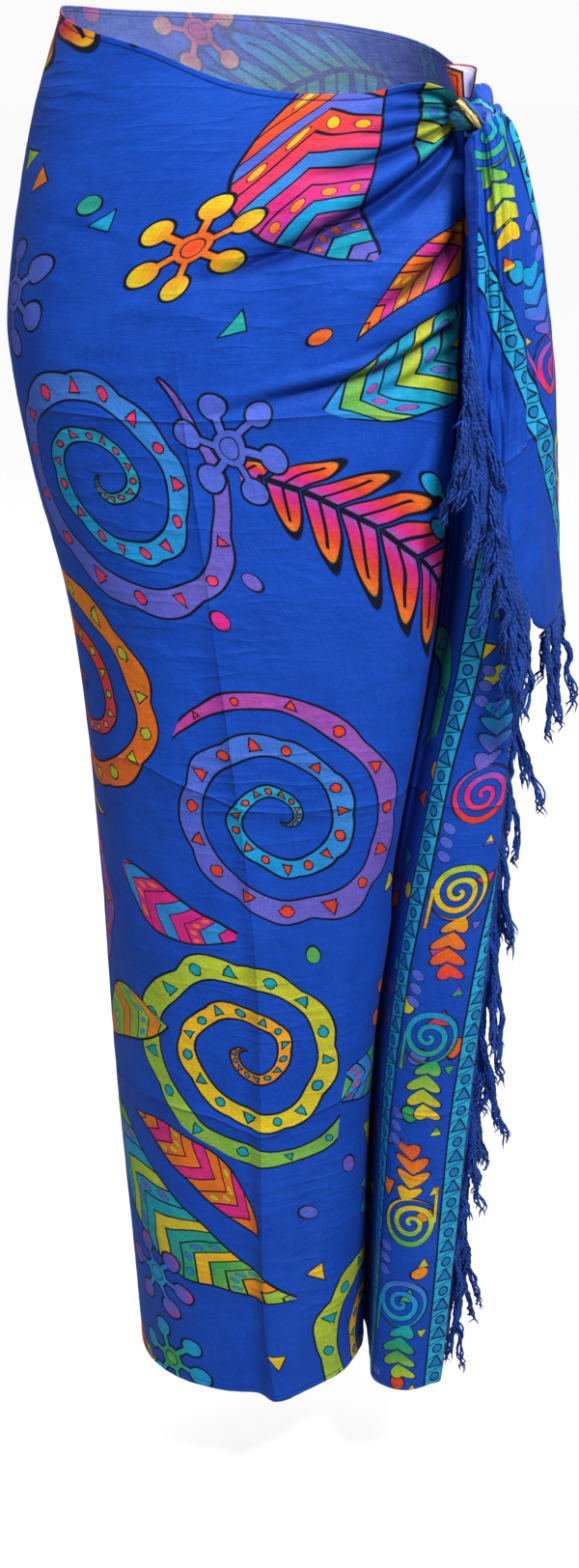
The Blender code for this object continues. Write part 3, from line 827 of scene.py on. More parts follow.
def buildWeave(look):
    tree, start, finish = newGroup(
        "rayonWeave",
        [("Cloth", "Vector", None), ("Creases", "Vector", None), ("Upright", "Float", 1.0)],
        [("Tone", "Float"), ("Height", "Float")])

    def stretched(waves, detail=2.0):
        return grain(tree, vectorMath(tree, "MULTIPLY", start.outputs["Cloth"], waves + (1.0,)),
                     1.0, detail)

    def bothWays(waves):
        return (stretched(waves) + stretched(waves[::-1])) * 0.5

    threads = bothWays(look["threads"])
    slubs = bothWays(look["slubs"])
    tone = threads * 0.4 + slubs * 0.35 + stretched(look["blotches"], 4.0) * 0.25
    crumple = stretched(look["crumples"], 3.0)
    ridges = (abs(stretched(look["ridges"]) - 0.5) * -9.0 + 1.0).most(0.0)
    patches = (stretched(look["ridgePatches"], 1.0) * 5.0).past(2.2)
    height = (threads * look["threadHeight"] + slubs * look["slubHeight"]
              + crumple * look["crumpleHeight"] + ridges * ridges * patches * look["ridgeHeight"])
    # pressed creases: whole numbers along either coordinate
    strength = stretched(look["creasePatches"], 1.0) * 1.7
    across, level = split(tree, start.outputs["Creases"])[:2]
    for place, share in ((across, start.outputs["Upright"]), (level, 1.0)):
        near = abs(place - (place + 0.5).floor()) * look["creasePitch"]
        rises = [(near * (-1.0 / half) + 1.0).most(0.0) for half, rise in look["creases"]]
        sharp, soft = [edge * edge * rise for edge, (half, rise) in zip(rises, look["creases"])]
        height = height + (sharp + soft) * strength * share
    plug(tree, tone, finish.inputs["Tone"])
    plug(tree, height, finish.inputs["Height"])
    return tree


def buildCloth(look, printGroup, weaveGroup):
    # the print on its weave, with the hem's stitches and painted shade deep in folds; the reverse
    # is paler and duller
    tree, start, finish = newGroup(
        "printedRayon",
        [(label, "Vector", None) for label in ("Cloth", "Creases", "Edges", "Layout")]
        + [("Reverse", "Float", 0.0), ("PaintedShade", "Float", 0.0)],
        [("Color", "Color"), ("Height", "Float")])
    printed = useGroup(tree, printGroup)
    plug(tree, start.outputs["Cloth"], printed.inputs["Cloth"])
    plug(tree, start.outputs["Layout"], printed.inputs["Layout"])
    fromHem, fromTop = split(tree, start.outputs["Edges"])[:2]
    weave = useGroup(tree, weaveGroup)
    plug(tree, start.outputs["Cloth"], weave.inputs["Cloth"])
    plug(tree, start.outputs["Creases"], weave.inputs["Creases"])
    plug(tree, (fromTop * 10.0).past(1.7), weave.inputs["Upright"])
    worn = (Wire(tree, weave.outputs["Tone"]) * 4.0).past(1.35)
    reverse = Wire(tree, start.outputs["Reverse"]) * look["reverseShare"]
    colour = mixColours(tree, printed.outputs["Color"], look["reverse"], reverse)
    dark = mixColours(tree, colour, look["betweenThreads"], 1.0, "MULTIPLY")
    colour = mixColours(tree, dark, colour, worn)
    fromStitch = abs(fromHem.least(fromTop) - look["stitchPlace"])
    stitch = (fromStitch - look["stitchHalf"]).inside(look["stitchHalf"])
    colour = mixColours(tree, colour, look["stitch"], stitch * 0.6)
    # painted shade: the colour multiplied darker by the shade attribute, deep in folds
    shade = mixColours(tree, colour, look["paintedShadeTint"], 1.0, "MULTIPLY")
    colour = mixColours(tree, colour, shade, start.outputs["PaintedShade"])
    plug(tree, colour, finish.inputs["Color"])
    plug(tree, Wire(tree, weave.outputs["Height"]) - stitch * look["stitchDepth"],
         finish.inputs["Height"])
    return tree


def clothMaterial(name, layout, reverse):
    # soft printed rayon with a low sheen
    material, tree, shader = newMaterial(name, clothLook["finish"])
    cloth = useGroup(tree, clothGroup)
    for label in ("cloth", "creases", "edges"):
        plug(tree, uvPlace(tree, label), cloth.inputs[label.capitalize()])
    cloth.inputs["Layout"].default_value = layout
    cloth.inputs["Reverse"].default_value = reverse
    # the painted shade attribute, darkest deep in folds
    deep = addNode(tree, "ShaderNodeAttribute")
    deep.attribute_name = "paintedFoldShade"
    plug(tree, deep.outputs["Fac"], cloth.inputs["PaintedShade"])
    plug(tree, cloth.outputs["Color"], shader.inputs["Base Color"])
    addBump(tree, shader, cloth.outputs["Height"])
    return material


def bothSides(name, layout):
    return (clothMaterial(name + "Face", layout, 0.0), clothMaterial(name + "Reverse", layout, 1.0))


clothGroup = buildCloth(clothLook, buildPrint(printLook), buildWeave(clothLook))
print("print and weave made")


# The wrapped cloth

wrapLook = {
    "columns": (8, 17, 22, 58, 84, 10),     # between two stations
    "sideCrowding": 1.5,                    # how the columns of the left side crowd to the front
    "rows": (90, 138),                      # below the pull folds, and over them
    "foldsStart": 0.70,                     # share of the height where they start
    "foldsCrowding": 1.4,                   # how the rows crowd to the top edge
    "hemRows": (0.0012, 0.0024, 0.0036, 0.0050),
    "hemEnd": 0.0055,                       # no other row lies closer to the hem
    "meanHeight": 1.03,
    "hemBead": 0.0005,
    "beadEdge": (0.0030, 0.0042),
    "knotDepth": 0.35,                      # added share of each fold's height near the knot
    "knotBelow": (-0.32, -0.25),            # where it starts, up the cloth and towards the knot
    "knotSide": (-0.06, 0.02),
    # stations between which each set of folds starts and ends
    "frontSpan": (3.00, 3.25, 4.90, 5.0),
    "backSpan": (0.10, 0.45, 2.75, 3.0),
    "frontOnly": (3.3, 4.9),
    "paintedShadeDepth": 0.0062,                  # a valley this deep gets the full painted shade
    "paintedShadeBend": 1.8,
    "paintedShadeMost": 0.85,
    # soft waves: height, waves by station and by height, and seed
    "crumples": (0.0011, 3.0, 26.0, 1.3),
    "crumplesUp": (-0.62, -0.12),           # they grow towards the top edge
    "waves": ((0.0016, 5.0, 4.0, 5.1), (0.0004, 24.0, 60.0, 9.7)),
    "hemWave": (0.0014, 6.0, 0.0, 2.0),
    "layout": (31.0, 12.0, 0.0)}

# Folds on the front, as lines of (x, z). Widths are at the start and the end, heights at the
# start, the middle and the end. With a lean, a ridge is steeper on the right of its line's way.
frontFolds = (
    # valleys between the rolls that run into the knot
    {"line": ((0.114, -0.0525), (0.100, -0.0465), (0.083, -0.0450), (0.058, -0.0480)),
     "width": (0.0026, 0.0070), "height": (0.0090, 0.0085, 0.0), "valley": True},
    {"line": ((0.114, -0.0560), (0.096, -0.0545), (0.078, -0.0550), (0.050, -0.0600)),
     "width": (0.0026, 0.0070), "height": (0.0090, 0.0080, 0.0), "valley": True},
    {"line": ((0.114, -0.0600), (0.096, -0.0635), (0.076, -0.0670), (0.040, -0.0740)),
     "width": (0.0028, 0.0080), "height": (0.0095, 0.0090, 0.0), "valley": True},
    {"line": ((0.114, -0.0640), (0.098, -0.0715), (0.080, -0.0790), (0.040, -0.0920),
              (0.00, -0.1000)),
     "width": (0.0030, 0.0105), "height": (0.0100, 0.0095, 0.0), "valley": True},
    # the long fold from the knot towards the left hip, with the roll above it
    {"line": ((0.1185, -0.0660), (0.110, -0.0760), (0.0965, -0.0891), (0.080, -0.1010),
              (0.064, -0.1123),
              (0.034, -0.1295), (0.003, -0.1440), (-0.028, -0.1560), (-0.059, -0.1640)),
     "width": (0.0036, 0.0105), "height": (0.0140, 0.0135, 0.0050), "valley": True},
    {"line": ((0.1150, -0.0740), (0.105, -0.0870), (0.0915, -0.0985), (0.060, -0.1215),
              (0.030, -0.1375), (-0.028, -0.1625)),
     "width": (0.0030, 0.0065), "height": (0.0020, 0.0034, 0.0010), "lean": 0.3},
    {"line": ((0.1180, -0.0720), (0.113, -0.0880), (0.104, -0.1040), (0.090, -0.1170),
              (0.066, -0.1330)),
     "width": (0.0036, 0.0120), "height": (0.0085, 0.0060, 0.0), "valley": True},
    {"line": ((0.1178, -0.1240), (0.1150, -0.1390), (0.102, -0.1557), (0.081, -0.1733),
              (0.052, -0.1900)),
     "width": (0.0036, 0.0105), "height": (0.0095, 0.0090, 0.0), "valley": True},
    {"line": ((0.119, -0.1970), (0.094, -0.2110), (0.062, -0.2275), (-0.011, -0.2455),
              (-0.081, -0.2625),
              (-0.120, -0.2640)),
     "width": (0.0046, 0.0062), "height": (0.0085, 0.0070, 0.0), "valley": True},
    {"line": ((0.119, -0.1850), (0.098, -0.1965), (0.062, -0.2130), (0.020, -0.2250)),
     "width": (0.0036, 0.0055), "height": (0.0063, 0.0048, 0.0), "valley": True},
    {"line": ((0.119, -0.2130), (0.100, -0.2250), (0.072, -0.2390), (0.030, -0.2520)),
     "width": (0.0034, 0.0075), "height": (0.0056, 0.0049, 0.0), "valley": True},
    # rolls
    {"line": ((0.116, -0.0685), (0.109, -0.0790), (0.096, -0.0925), (0.075, -0.1070),
              (0.042, -0.1250)),
     "width": (0.0050, 0.0120), "height": (0.0024, 0.0030, 0.0)},
    {"line": ((0.115, -0.1060), (0.106, -0.1300), (0.092, -0.1480), (0.060, -0.1700),
              (0.000, -0.1980)),
     "width": (0.0090, 0.0220), "height": (0.0024, 0.0044, 0.0)},
    {"line": ((0.118, -0.1910), (0.094, -0.2035), (0.060, -0.2200), (-0.011, -0.2370),
              (-0.060, -0.2480)),
     "width": (0.0036, 0.0046), "height": (0.0026, 0.0024, 0.0)},
    {"line": ((0.112, -0.240), (0.098, -0.300), (0.090, -0.380), (0.078, -0.470)),
     "width": (0.0080, 0.0140), "height": (0.0020, 0.0040, 0.0), "lean": 0.3},
    {"line": ((0.080, -0.262), (0.070, -0.330), (0.066, -0.420)),
     "width": (0.0070, 0.0110), "height": (0.0, 0.0026, 0.0)},
    {"line": ((0.104, -0.262), (0.092, -0.290), (0.070, -0.322), (0.040, -0.350)),
     "width": (0.0034, 0.0060), "height": (0.0012, 0.0024, 0.0), "valley": True},
    {"line": ((0.112, -0.520), (0.098, -0.600), (0.070, -0.690), (0.050, -0.790)),
     "width": (0.0080, 0.0150), "height": (0.0, 0.0046, 0.0), "lean": 0.3},
    # soft wrinkles over the left hip
    {"line": ((-0.185, -0.048), (-0.150, -0.044), (-0.100, -0.050)),
     "width": (0.0040, 0.0030), "height": (0.0, 0.0012, 0.0), "lean": 0.3},
    {"line": ((-0.160, -0.083), (-0.110, -0.074), (-0.062, -0.061)),
     "width": (0.0040, 0.0030), "height": (0.0, 0.0013, 0.0), "lean": 0.3},
    {"line": ((-0.178, -0.122), (-0.140, -0.128), (-0.092, -0.146)),
     "width": (0.0050, 0.0035), "height": (0.0, 0.0015, 0.0), "lean": 0.3},
    {"line": ((-0.150, -0.196), (-0.100, -0.186), (-0.040, -0.190)),
     "width": (0.0070, 0.0060), "height": (0.0, 0.0015, 0.0), "lean": 0.2},
    {"line": ((-0.190, -0.222), (-0.130, -0.232), (-0.070, -0.226)),
     "width": (0.0060, 0.0050), "height": (0.0, 0.0014, 0.0), "lean": 0.2},
    # lower folds, down to the hem
    {"line": ((-0.078, -0.250), (-0.056, -0.411), (-0.026, -0.678), (-0.021, -0.900),
              (-0.0125, -1.080)),
     "width": (0.0060, 0.0150), "height": (0.0004, 0.0026, 0.0120), "lean": 0.45},
    {"line": ((0.052, -0.480), (0.046, -0.640), (0.038, -0.800), (0.044, -0.960)),
     "width": (0.0120, 0.0150), "height": (0.0, 0.0028, 0.0)},
    {"line": ((-0.094, -0.560), (-0.084, -0.760), (-0.080, -0.960)),
     "width": (0.0180, 0.0200), "height": (0.0, 0.0026, 0.0)},
    {"line": ((0.030, -0.290), (0.018, -0.420), (0.014, -0.560)),
     "width": (0.0160, 0.0200), "height": (0.0, 0.0022, 0.0)})

# Folds round the back, as lines of (x, z) on the far half
backFolds = (
    {"line": ((0.128, -0.070), (0.112, -0.110), (0.070, -0.150), (-0.010, -0.175)),
     "width": (0.0060, 0.0180), "height": (0.0028, 0.0045, 0.0), "lean": 0.3},
    {"line": ((0.136, -0.110), (0.118, -0.165), (0.070, -0.215), (-0.030, -0.240)),
     "width": (0.0070, 0.0200), "height": (0.0024, 0.0050, 0.0), "lean": 0.35},
    {"line": ((0.120, -0.050), (0.090, -0.066), (0.040, -0.074), (-0.030, -0.070)),
     "width": (0.0040, 0.0110), "height": (0.0022, 0.0030, 0.0), "lean": 0.3},
    {"line": ((-0.176, -0.060), (-0.120, -0.085), (-0.060, -0.090)),
     "width": (0.0050, 0.0080), "height": (0.0, 0.0022, 0.0), "lean": 0.3},
    {"line": ((-0.190, -0.170), (-0.120, -0.205), (-0.040, -0.205), (0.040, -0.190)),
     "width": (0.0060, 0.0080), "height": (0.0010, 0.0028, 0.0), "lean": 0.4},
    {"line": ((0.076, -0.330), (0.070, -0.560), (0.058, -0.800), (0.054, -1.080)),
     "width": (0.0130, 0.0220), "height": (0.0, 0.0040, 0.0060), "lean": 0.2},
    {"line": ((-0.020, -0.400), (-0.018, -0.640), (-0.010, -0.880), (-0.006, -1.080)),
     "width": (0.0150, 0.0220), "height": (0.0, 0.0040, 0.0070), "lean": 0.25},
    {"line": ((-0.092, -0.350), (-0.080, -0.600), (-0.070, -0.860), (-0.068, -1.080)),
     "width": (0.0140, 0.0200), "height": (0.0, 0.0034, 0.0060), "lean": 0.2})

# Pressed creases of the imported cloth: the height of each one by station, and the one that runs
# down the front, as (z, x)
creaseLevels = {
    "columns": ("station", "low", "middle", "high"),
    "rows": (
        (0.0, -0.822, -0.548, -0.270), (1.0, -0.818, -0.542, -0.266),
        (2.0, -0.820, -0.548, -0.262), (3.0, -0.812, -0.545, -0.262),
        (3.5, -0.808, -0.520, -0.2605), (3.8, -0.813, -0.536, -0.262),
        (4.0, -0.826, -0.5505, -0.259), (4.3, -0.812, -0.551, -0.256),
        (4.6, -0.800, -0.551, -0.262), (5.0, -0.797, -0.549, -0.270),
        (6.0, -0.797, -0.549, -0.272))}

frontCrease = ((-1.080, -0.0120), (-0.995, -0.0210), (-0.678, -0.0260), (-0.411, -0.0560),
               (-0.239, -0.0780), (0.010, -0.1000))

levelStep = 0.278                # from one of these creases to the next, beyond the table


def levelPlace(z, levels):
    # whole numbers at the pressed creases that run round the cloth
    low, middle, high = [levels[name] for name in ("low", "middle", "high")]
    place = (z - low) / (middle - low) + 1.0
    place = np.where(z > middle, (z - middle) / (high - middle) + 2.0, place)
    place = np.where(z > high, (z - high) / levelStep + 3.0, place)
    return np.where(z < low, (z - low) / levelStep + 1.0, place)


def span(at, stops, less=1.0):
    # rises from 0 to 1 over the first two stops, and loses a share over the last two
    return smoothStep(stops[0], stops[1], at) * (1.0 - less * smoothStep(stops[2], stops[3], at))


def softWaves(wave, a, b):
    height, alongA, alongB, seed = wave
    return height * noiseOver(a * alongA, b * alongB, seed)


def wrapGrid(look):
    # stations round the cloth and shares of its height, close together where it folds
    shares = [np.arange(count) / count for count in look["columns"]]
    shares[3] = 1.0 - (1.0 - shares[3]) ** look["sideCrowding"]
    station = np.concatenate([leg + share for leg, share in enumerate(shares)] + [[6.0]])
    lowRows, foldRows = look["rows"]
    crowded = np.linspace(1.0, 0.0, foldRows + 1) ** look["foldsCrowding"]
    up = np.concatenate([np.linspace(0.0, look["foldsStart"], lowRows + 1)[:-1],
                         1.0 - (1.0 - look["foldsStart"]) * crowded])
    hem = np.array(look["hemRows"]) / look["meanHeight"]
    up = up[(up == 0.0) | (up > look["hemEnd"])]
    up = np.unique(np.concatenate([up[:-1], [1.0], hem, 1.0 - hem]))
    return np.meshgrid(station, up, indexing="ij")


def wrapCreases(look, station, x, z, flat):
    # one pressed crease runs down the front, and the others lie a whole pitch from it
    ahead = (station[:, 0] > look["frontOnly"][0]) & (station[:, 0] < look["frontOnly"][1])
    creaseX = smoothValue([row[0] for row in frontCrease], [row[1] for row in frontCrease], z[0])
    creaseU = np.array([np.interp(creaseX[k], x[ahead, k], flat[ahead, k, 0])
                        for k in range(z.shape[1])])
    return np.stack([(flat[..., 0] - creaseU) / clothLook["creasePitch"] + 6.0,
                     levelPlace(z, readTable(creaseLevels, station))], axis=-1)


def makeWrap(look):
    station, up = wrapGrid(look)
    z = hemZ + (readTable(topEdge, station)["z"] - hemZ) * up
    base = tubeBase(station, z)
    flat = np.stack([walked(base, 0), walked(base, 1)], axis=-1)
    edges = np.stack([flat[..., 1], flat[:, -1:, 1] - flat[..., 1]], axis=-1)
    x = base[..., 0]
    front = span(station, look["frontSpan"])
    behind = span(station, look["backSpan"])
    height = np.zeros(x.shape)
    paintedFoldShade = np.zeros(x.shape)
    deeper = smoothStep(*look["knotBelow"], z) * smoothStep(*look["knotSide"], x)
    deeper = 1.0 + look["knotDepth"] * deeper
    for fold in frontFolds:
        rise = front * deeper * foldHeight(x, z, fold)
        height += rise
        # painted shade: the deeper a valley, the darker its colour
        if fold.get("valley", False):
            dark = np.clip(-rise / look["paintedShadeDepth"], 0.0, 1.0) ** look["paintedShadeBend"]
            paintedFoldShade = np.maximum(paintedFoldShade, dark)
    for fold in backFolds:
        height += behind * foldHeight(x, z, fold)
    height += softWaves(look["crumples"], station, z) * smoothStep(*look["crumplesUp"], z)
    for wave in look["waves"]:
        height += softWaves(wave, station, z)
    height += look["hemBead"] * (1.0 - smoothStep(*look["beadEdge"], edges.min(axis=-1)))
    points = base + gridNormals(base) * height[..., None]
    points[:, 0, 2] += softWaves(look["hemWave"], station[:, 0], z[:, 0])
    maps = {"cloth": flat, "edges": edges, "creases": wrapCreases(look, station, x, z, flat)}
    piece = makeSheet("wrapCloth", "wrap", points, maps, look["paintedShadeMost"] * paintedFoldShade,
                      bothSides("wrap", look["layout"]))
    return piece, points


wrapCloth, wrapPoints = makeWrap(wrapLook)
print("wrapped cloth made")


# The end of the front layer, which falls beside the front fold

fallSections = {
    "columns": ("z", "crestX", "crestY", "leftX", "leftY", "midX", "midY", "edgeX", "edgeY"),
    "rows": (
        (-1.075, 0.0685, -0.055, 0.0710, -0.084, 0.0960, -0.098, 0.1230, -0.088),
        (-0.820, 0.0755, -0.068, 0.0850, -0.093, 0.1110, -0.105, 0.1385, -0.094),
        (-0.640, 0.0890, -0.080, 0.1000, -0.099, 0.1260, -0.108, 0.1500, -0.099),
        (-0.430, 0.1190, -0.087, 0.1350, -0.099, 0.1490, -0.103, 0.1610, -0.099),
        (-0.300, 0.1275, -0.088, 0.1390, -0.096, 0.1480, -0.098, 0.1570, -0.095),
        (-0.180, 0.1275, -0.088, 0.1340, -0.094, 0.1415, -0.095, 0.1490, -0.091),
        (-0.080, 0.1215, -0.085, 0.1260, -0.0885, 0.1315, -0.0885, 0.1370, -0.0850))}

fallLook = {
    "columns": 84,
    "rows": 190,
    "crowding": 1.2,              # how the rows crowd to the knot
    "topZ": -0.0740,
    "valleyGap": 0.0006,
    "foldGap": 0.0032,
    "stops": (0.0, 0.24, 0.42, 0.60, 0.80, 1.0),     # where each line of a section lies
    # each span is four heights, and the share that is lost over the last two
    "recess": (0.017, 0.36, 0.12),  # behind the front fold: its depth, place and width
    "recessSpan": ((-0.20, -0.38, -0.56, -0.78), 0.75),
    "recessStart": (0.02, 0.22),
    "shade": 0.85,                # how dark the painted shade in there is
    "shadeWidth": 1.3,
    "shadeSpan": ((-0.20, -0.40, -0.60, -0.80), 0.5),
    "pleats": 2.0,
    "pleatDepth": 0.0042,
    "pleatSpan": ((-0.50, -0.30, -0.16, -0.08), 0.45),
    "pleatStart": (0.34, 0.52),
    "pleatsFrom": 0.40,
    "margin": 0.030,              # turned back behind the edge
    "marginColumns": 16,
    "marginHeading": 82.0,        # degrees from the right towards the back
    "marginBend": 0.30,           # share of it that bends
    # soft waves: height, waves in a metre along and up the cloth, and seed
    "longWave": (0.0016, 26.0, 3.2, 3.3),
    "longWaveStart": (0.03, 0.07),
    "crumples": (0.0005, 90.0, 40.0, 6.1),
    "wavesStart": (0.015, 0.05),
    "creaseLevels": {"low": -0.812, "middle": -0.552, "high": -0.272},
    # how far the turned edge lies from the fringed end, by height
    "turnedBack": (
        (-1.075, 0.046), (-0.970, 0.046), (-0.818, 0.045), (-0.692, 0.052), (-0.604, 0.063),
        (-0.526, 0.072), (-0.440, 0.088), (-0.300, 0.100), (-0.070, 0.110)),
    "layout": (7.0, 40.0, 0.0)}


def fallBase(s, z, look):
    row = readTable(fallSections, z)
    valley = tubeBase(6.0, z)
    fold = tubeBase(5.0, z)
    lineX = (valley[..., 0] + look["valleyGap"], fold[..., 0] + look["foldGap"], row["crestX"],
             row["leftX"], row["midX"], row["edgeX"])
    lineY = (valley[..., 1], fold[..., 1], row["crestY"], row["leftY"], row["midY"], row["edgeY"])
    x = np.zeros(s.shape)
    y = np.zeros(s.shape)
    for k in range(s.shape[1]):      # one level at a time
        x[:, k] = smoothValue(look["stops"], [column[0, k] for column in lineX], s[:, k])
        y[:, k] = smoothValue(look["stops"], [column[0, k] for column in lineY], s[:, k])
    start = look["pleatsFrom"]
    bunched = span(z, *look["pleatSpan"])
    spread = smoothStep(*look["pleatStart"], s)
    wave = np.sin(2.0 * math.pi * look["pleats"] * (s - start) / (1.0 - start))
    y -= look["pleatDepth"] * bunched * spread * wave
    depth, middle, width = look["recess"]
    dip = depth * np.exp(-((s - middle) / width) ** 2)
    y += dip * smoothStep(*look["recessStart"], s) * span(z, *look["recessSpan"])
    return np.stack([x, y, z], axis=-1)


def turnedMargin(edge, before, look):
    # the cloth beyond the edge, turned back: its heading swings round and then holds
    heading = np.arctan2(edge[:, 1] - before[:, 1], edge[:, 0] - before[:, 0])
    last = math.radians(look["marginHeading"])
    count = look["marginColumns"]
    step = look["margin"] / count
    here = edge.copy()
    rows = []
    for k in range(count):
        swing = smoothStep(0.0, look["marginBend"], (k + 0.5) / count)
        angle = heading + (last - heading) * swing
        here = here + step * np.stack([np.cos(angle), np.sin(angle), 0.0 * angle], axis=-1)
        rows.append(here.copy())
    return np.array(rows)


def makeFall(look):
    s = np.linspace(0.0, 1.0, look["columns"] + 1)
    up = 1.0 - (1.0 - np.linspace(0.0, 1.0, look["rows"] + 1)) ** look["crowding"]
    up = up[(up == 0.0) | (up > wrapLook["hemEnd"])]
    up = np.unique(np.concatenate([up, wrapLook["hemRows"]]))
    s, up = np.meshgrid(s, up, indexing="ij")
    base = fallBase(s, hemZ + (look["topZ"] - hemZ) * up, look)
    base = np.concatenate([base, turnedMargin(base[-1], base[-2], look)])
    s = np.concatenate([s, np.ones((look["marginColumns"], s.shape[1]))])
    alongCloth = walked(base, 0)
    z = base[..., 2]
    turnedBack = smoothValue([row[0] for row in look["turnedBack"]],
                             [row[1] for row in look["turnedBack"]], z)
    fromEnd = alongCloth[look["columns"]] - alongCloth + turnedBack
    flat = np.stack([fromEnd, walked(base, 1)], axis=-1)
    plain = np.full(z.shape, 0.5)
    height = softWaves(look["longWave"], alongCloth, z)
    height *= smoothStep(*look["longWaveStart"], alongCloth)
    height += softWaves(look["crumples"], alongCloth, z)
    height *= smoothStep(*look["wavesStart"], alongCloth)
    points = base + gridNormals(base) * height[..., None]
    # painted shade over the recess behind the front fold
    middle, width = look["recess"][1:]
    across = 1.0 - smoothStep(middle, middle + look["shadeWidth"] * width, s)
    paintedFoldShade = span(z, *look["shadeSpan"]) * look["shade"] * across
    maps = {"cloth": flat, "edges": np.stack([flat[..., 1], plain], axis=-1),
            "creases": np.stack([plain, levelPlace(z, look["creaseLevels"])], axis=-1)}
    piece = makeSheet("fallCloth", "front_fall", points, maps, paintedFoldShade,
                      bothSides("fall", look["layout"]))
    return piece, points


fallCloth, fallPoints = makeFall(fallLook)
print("falling end made")


# The free corner over the hip: one row of the table for each fold, from the knot over a
# shoulder down to the fringed end of the cloth

tailFolds = {
    "columns": ("across", "startX", "startY", "startZ", "shoulderX", "shoulderY", "shoulderZ",
                "edgeX", "edgeY", "edgeZ"),
    "rows": (
        (0.00, 0.1190, -0.1073, -0.0710, 0.1210, -0.1190, -0.120, 0.1205, -0.1285, -0.195),
        (0.12, 0.1215, -0.1123, -0.0695, 0.1265, -0.1370, -0.120, 0.1280, -0.1300, -0.222),
        (0.25, 0.1260, -0.1108, -0.0675, 0.1345, -0.1250, -0.120, 0.1365, -0.1300, -0.268),
        (0.40, 0.1300, -0.1128, -0.0645, 0.1460, -0.1390, -0.105, 0.1480, -0.1330, -0.322),
        (0.55, 0.1340, -0.1098, -0.0615, 0.1620, -0.1290, -0.095, 0.1630, -0.1300, -0.375),
        (0.70, 0.1370, -0.1043, -0.0585, 0.1760, -0.1040, -0.087, 0.1810, -0.1100, -0.412),
        (0.85, 0.1385, -0.0973, -0.0560, 0.1860, -0.0680, -0.080, 0.2010, -0.0640, -0.408),
        (1.00, 0.1380, -0.0913, -0.0550, 0.1780, -0.0330, -0.078, 0.1970, -0.0110, -0.360))}

tailLook = {
    "columns": 130,
    "rows": 110,
    "lowestZ": -0.195,            # where the first fold ends
    "endWay": (0.438, -0.899),    # which way the fringed end runs, across and up
    "endPlace": (0.016, 0.6),
    "turnedUnder": (0.135, 0.16),   # the first fold is plain cloth from beside the edge
    "creaseStart": 0.2,
    # pleats down the corner: place across, width and depth
    "pleats": ((0.140, 0.022, -0.0085), (0.060, 0.034, 0.0030), (0.330, 0.030, -0.0026),
               (0.470, 0.034, 0.0032), (0.610, 0.030, -0.0034), (0.760, 0.030, 0.0036),
               (0.880, 0.026, -0.0040)),
    "pleatSway": 0.02,
    "pleatStart": (0.02, 0.40),
    # soft waves: height, waves across and up the corner, and seed; and where they fade
    "longWave": (0.0030, 15.0, 1.6, 4.4),
    "longWaveStart": (0.0, 0.2),
    "wave": (0.0014, 34.0, 5.0, 8.2),
    "crumples": (0.0020, 20.0, 18.0, 3.9),
    "crumplesEnd": (0.20, 0.50),
    "calm": (0.90, 1.0),          # everything lies flat where it enters the knot
    # painted shade in the pleats' valleys
    "paintedShadeDepth": 0.0120,
    "paintedShadeMost": 0.80,
    "paintedShadeBend": 1.6,
    "firstFoldPaintedShade": (0.125, 0.160),    # painted shade on the first fold, which lies in the shade of the others
    "paintedShadeStart": (0.05, 0.30),
    "layout": (52.0, 3.0, 0.0)}


def tailBase(s, r):
    row = readTable(tailFolds, s)
    start, shoulder, edge = [
        np.stack([row[end + "X"], row[end + "Y"], row[end + "Z"]], axis=-1)
        for end in ("start", "shoulder", "edge")]
    r = r[..., None]
    return start * (1.0 - r) ** 2 + shoulder * 2.0 * r * (1.0 - r) + edge * r ** 2


def makeTail(look):
    s, up = np.meshgrid(np.linspace(0.0, 1.0, look["columns"] + 1),
                        np.linspace(0.0, 1.0, look["rows"] + 1), indexing="ij")
    base = tailBase(s, 1.0 - up)
    across = walked(base * np.array((1.0, 1.0, 0.0)), 0)
    down = base[..., 2] - look["lowestZ"]
    wayX, wayZ = look["endWay"]
    fromEnd, alongEnd = look["endPlace"]
    flat = np.stack([fromEnd - wayZ * across + wayX * down,
                     alongEnd - wayX * across - wayZ * down], axis=-1)
    flat[..., 0] -= look["turnedUnder"][1] * (s < look["turnedUnder"][0])
    height = softWaves(look["longWave"], s, up) * smoothStep(*look["longWaveStart"], up)
    height += softWaves(look["wave"], s, up)
    height += softWaves(look["crumples"], s, up) * (1.0 - smoothStep(*look["crumplesEnd"], up))
    # painted shade on the first fold and in the valleys of the pleats
    first = 1.0 - smoothStep(*look["firstFoldPaintedShade"], s)
    paintedFoldShade = look["paintedShadeMost"] * first * smoothStep(*look["paintedShadeStart"], up)
    for middle, width, depth in look["pleats"]:
        sway = middle + look["pleatSway"] * np.sin(5.0 * up + 20.0 * middle)
        rise = depth * np.exp(-((s - sway) / width) ** 2) * smoothStep(*look["pleatStart"], up)
        height += rise
        dark = np.clip(-rise / look["paintedShadeDepth"], 0.0, look["paintedShadeMost"]) ** look["paintedShadeBend"]
        paintedFoldShade = np.maximum(paintedFoldShade, dark)
    height *= 1.0 - smoothStep(*look["calm"], up)
    points = base + gridNormals(base) * height[..., None]
    plain = np.full(s.shape, 0.5)
    level = flat[..., 1] / clothLook["creasePitch"] + look["creaseStart"]
    maps = {"cloth": flat, "edges": np.stack([plain, plain], axis=-1),
            "creases": np.stack([plain, level], axis=-1)}
    piece = makeSheet("tailCloth", "tail", points, maps, paintedFoldShade, bothSides("tail", look["layout"]))
    return piece, points


tailCloth, tailPoints = makeTail(tailLook)
print("free corner made")


# The knot

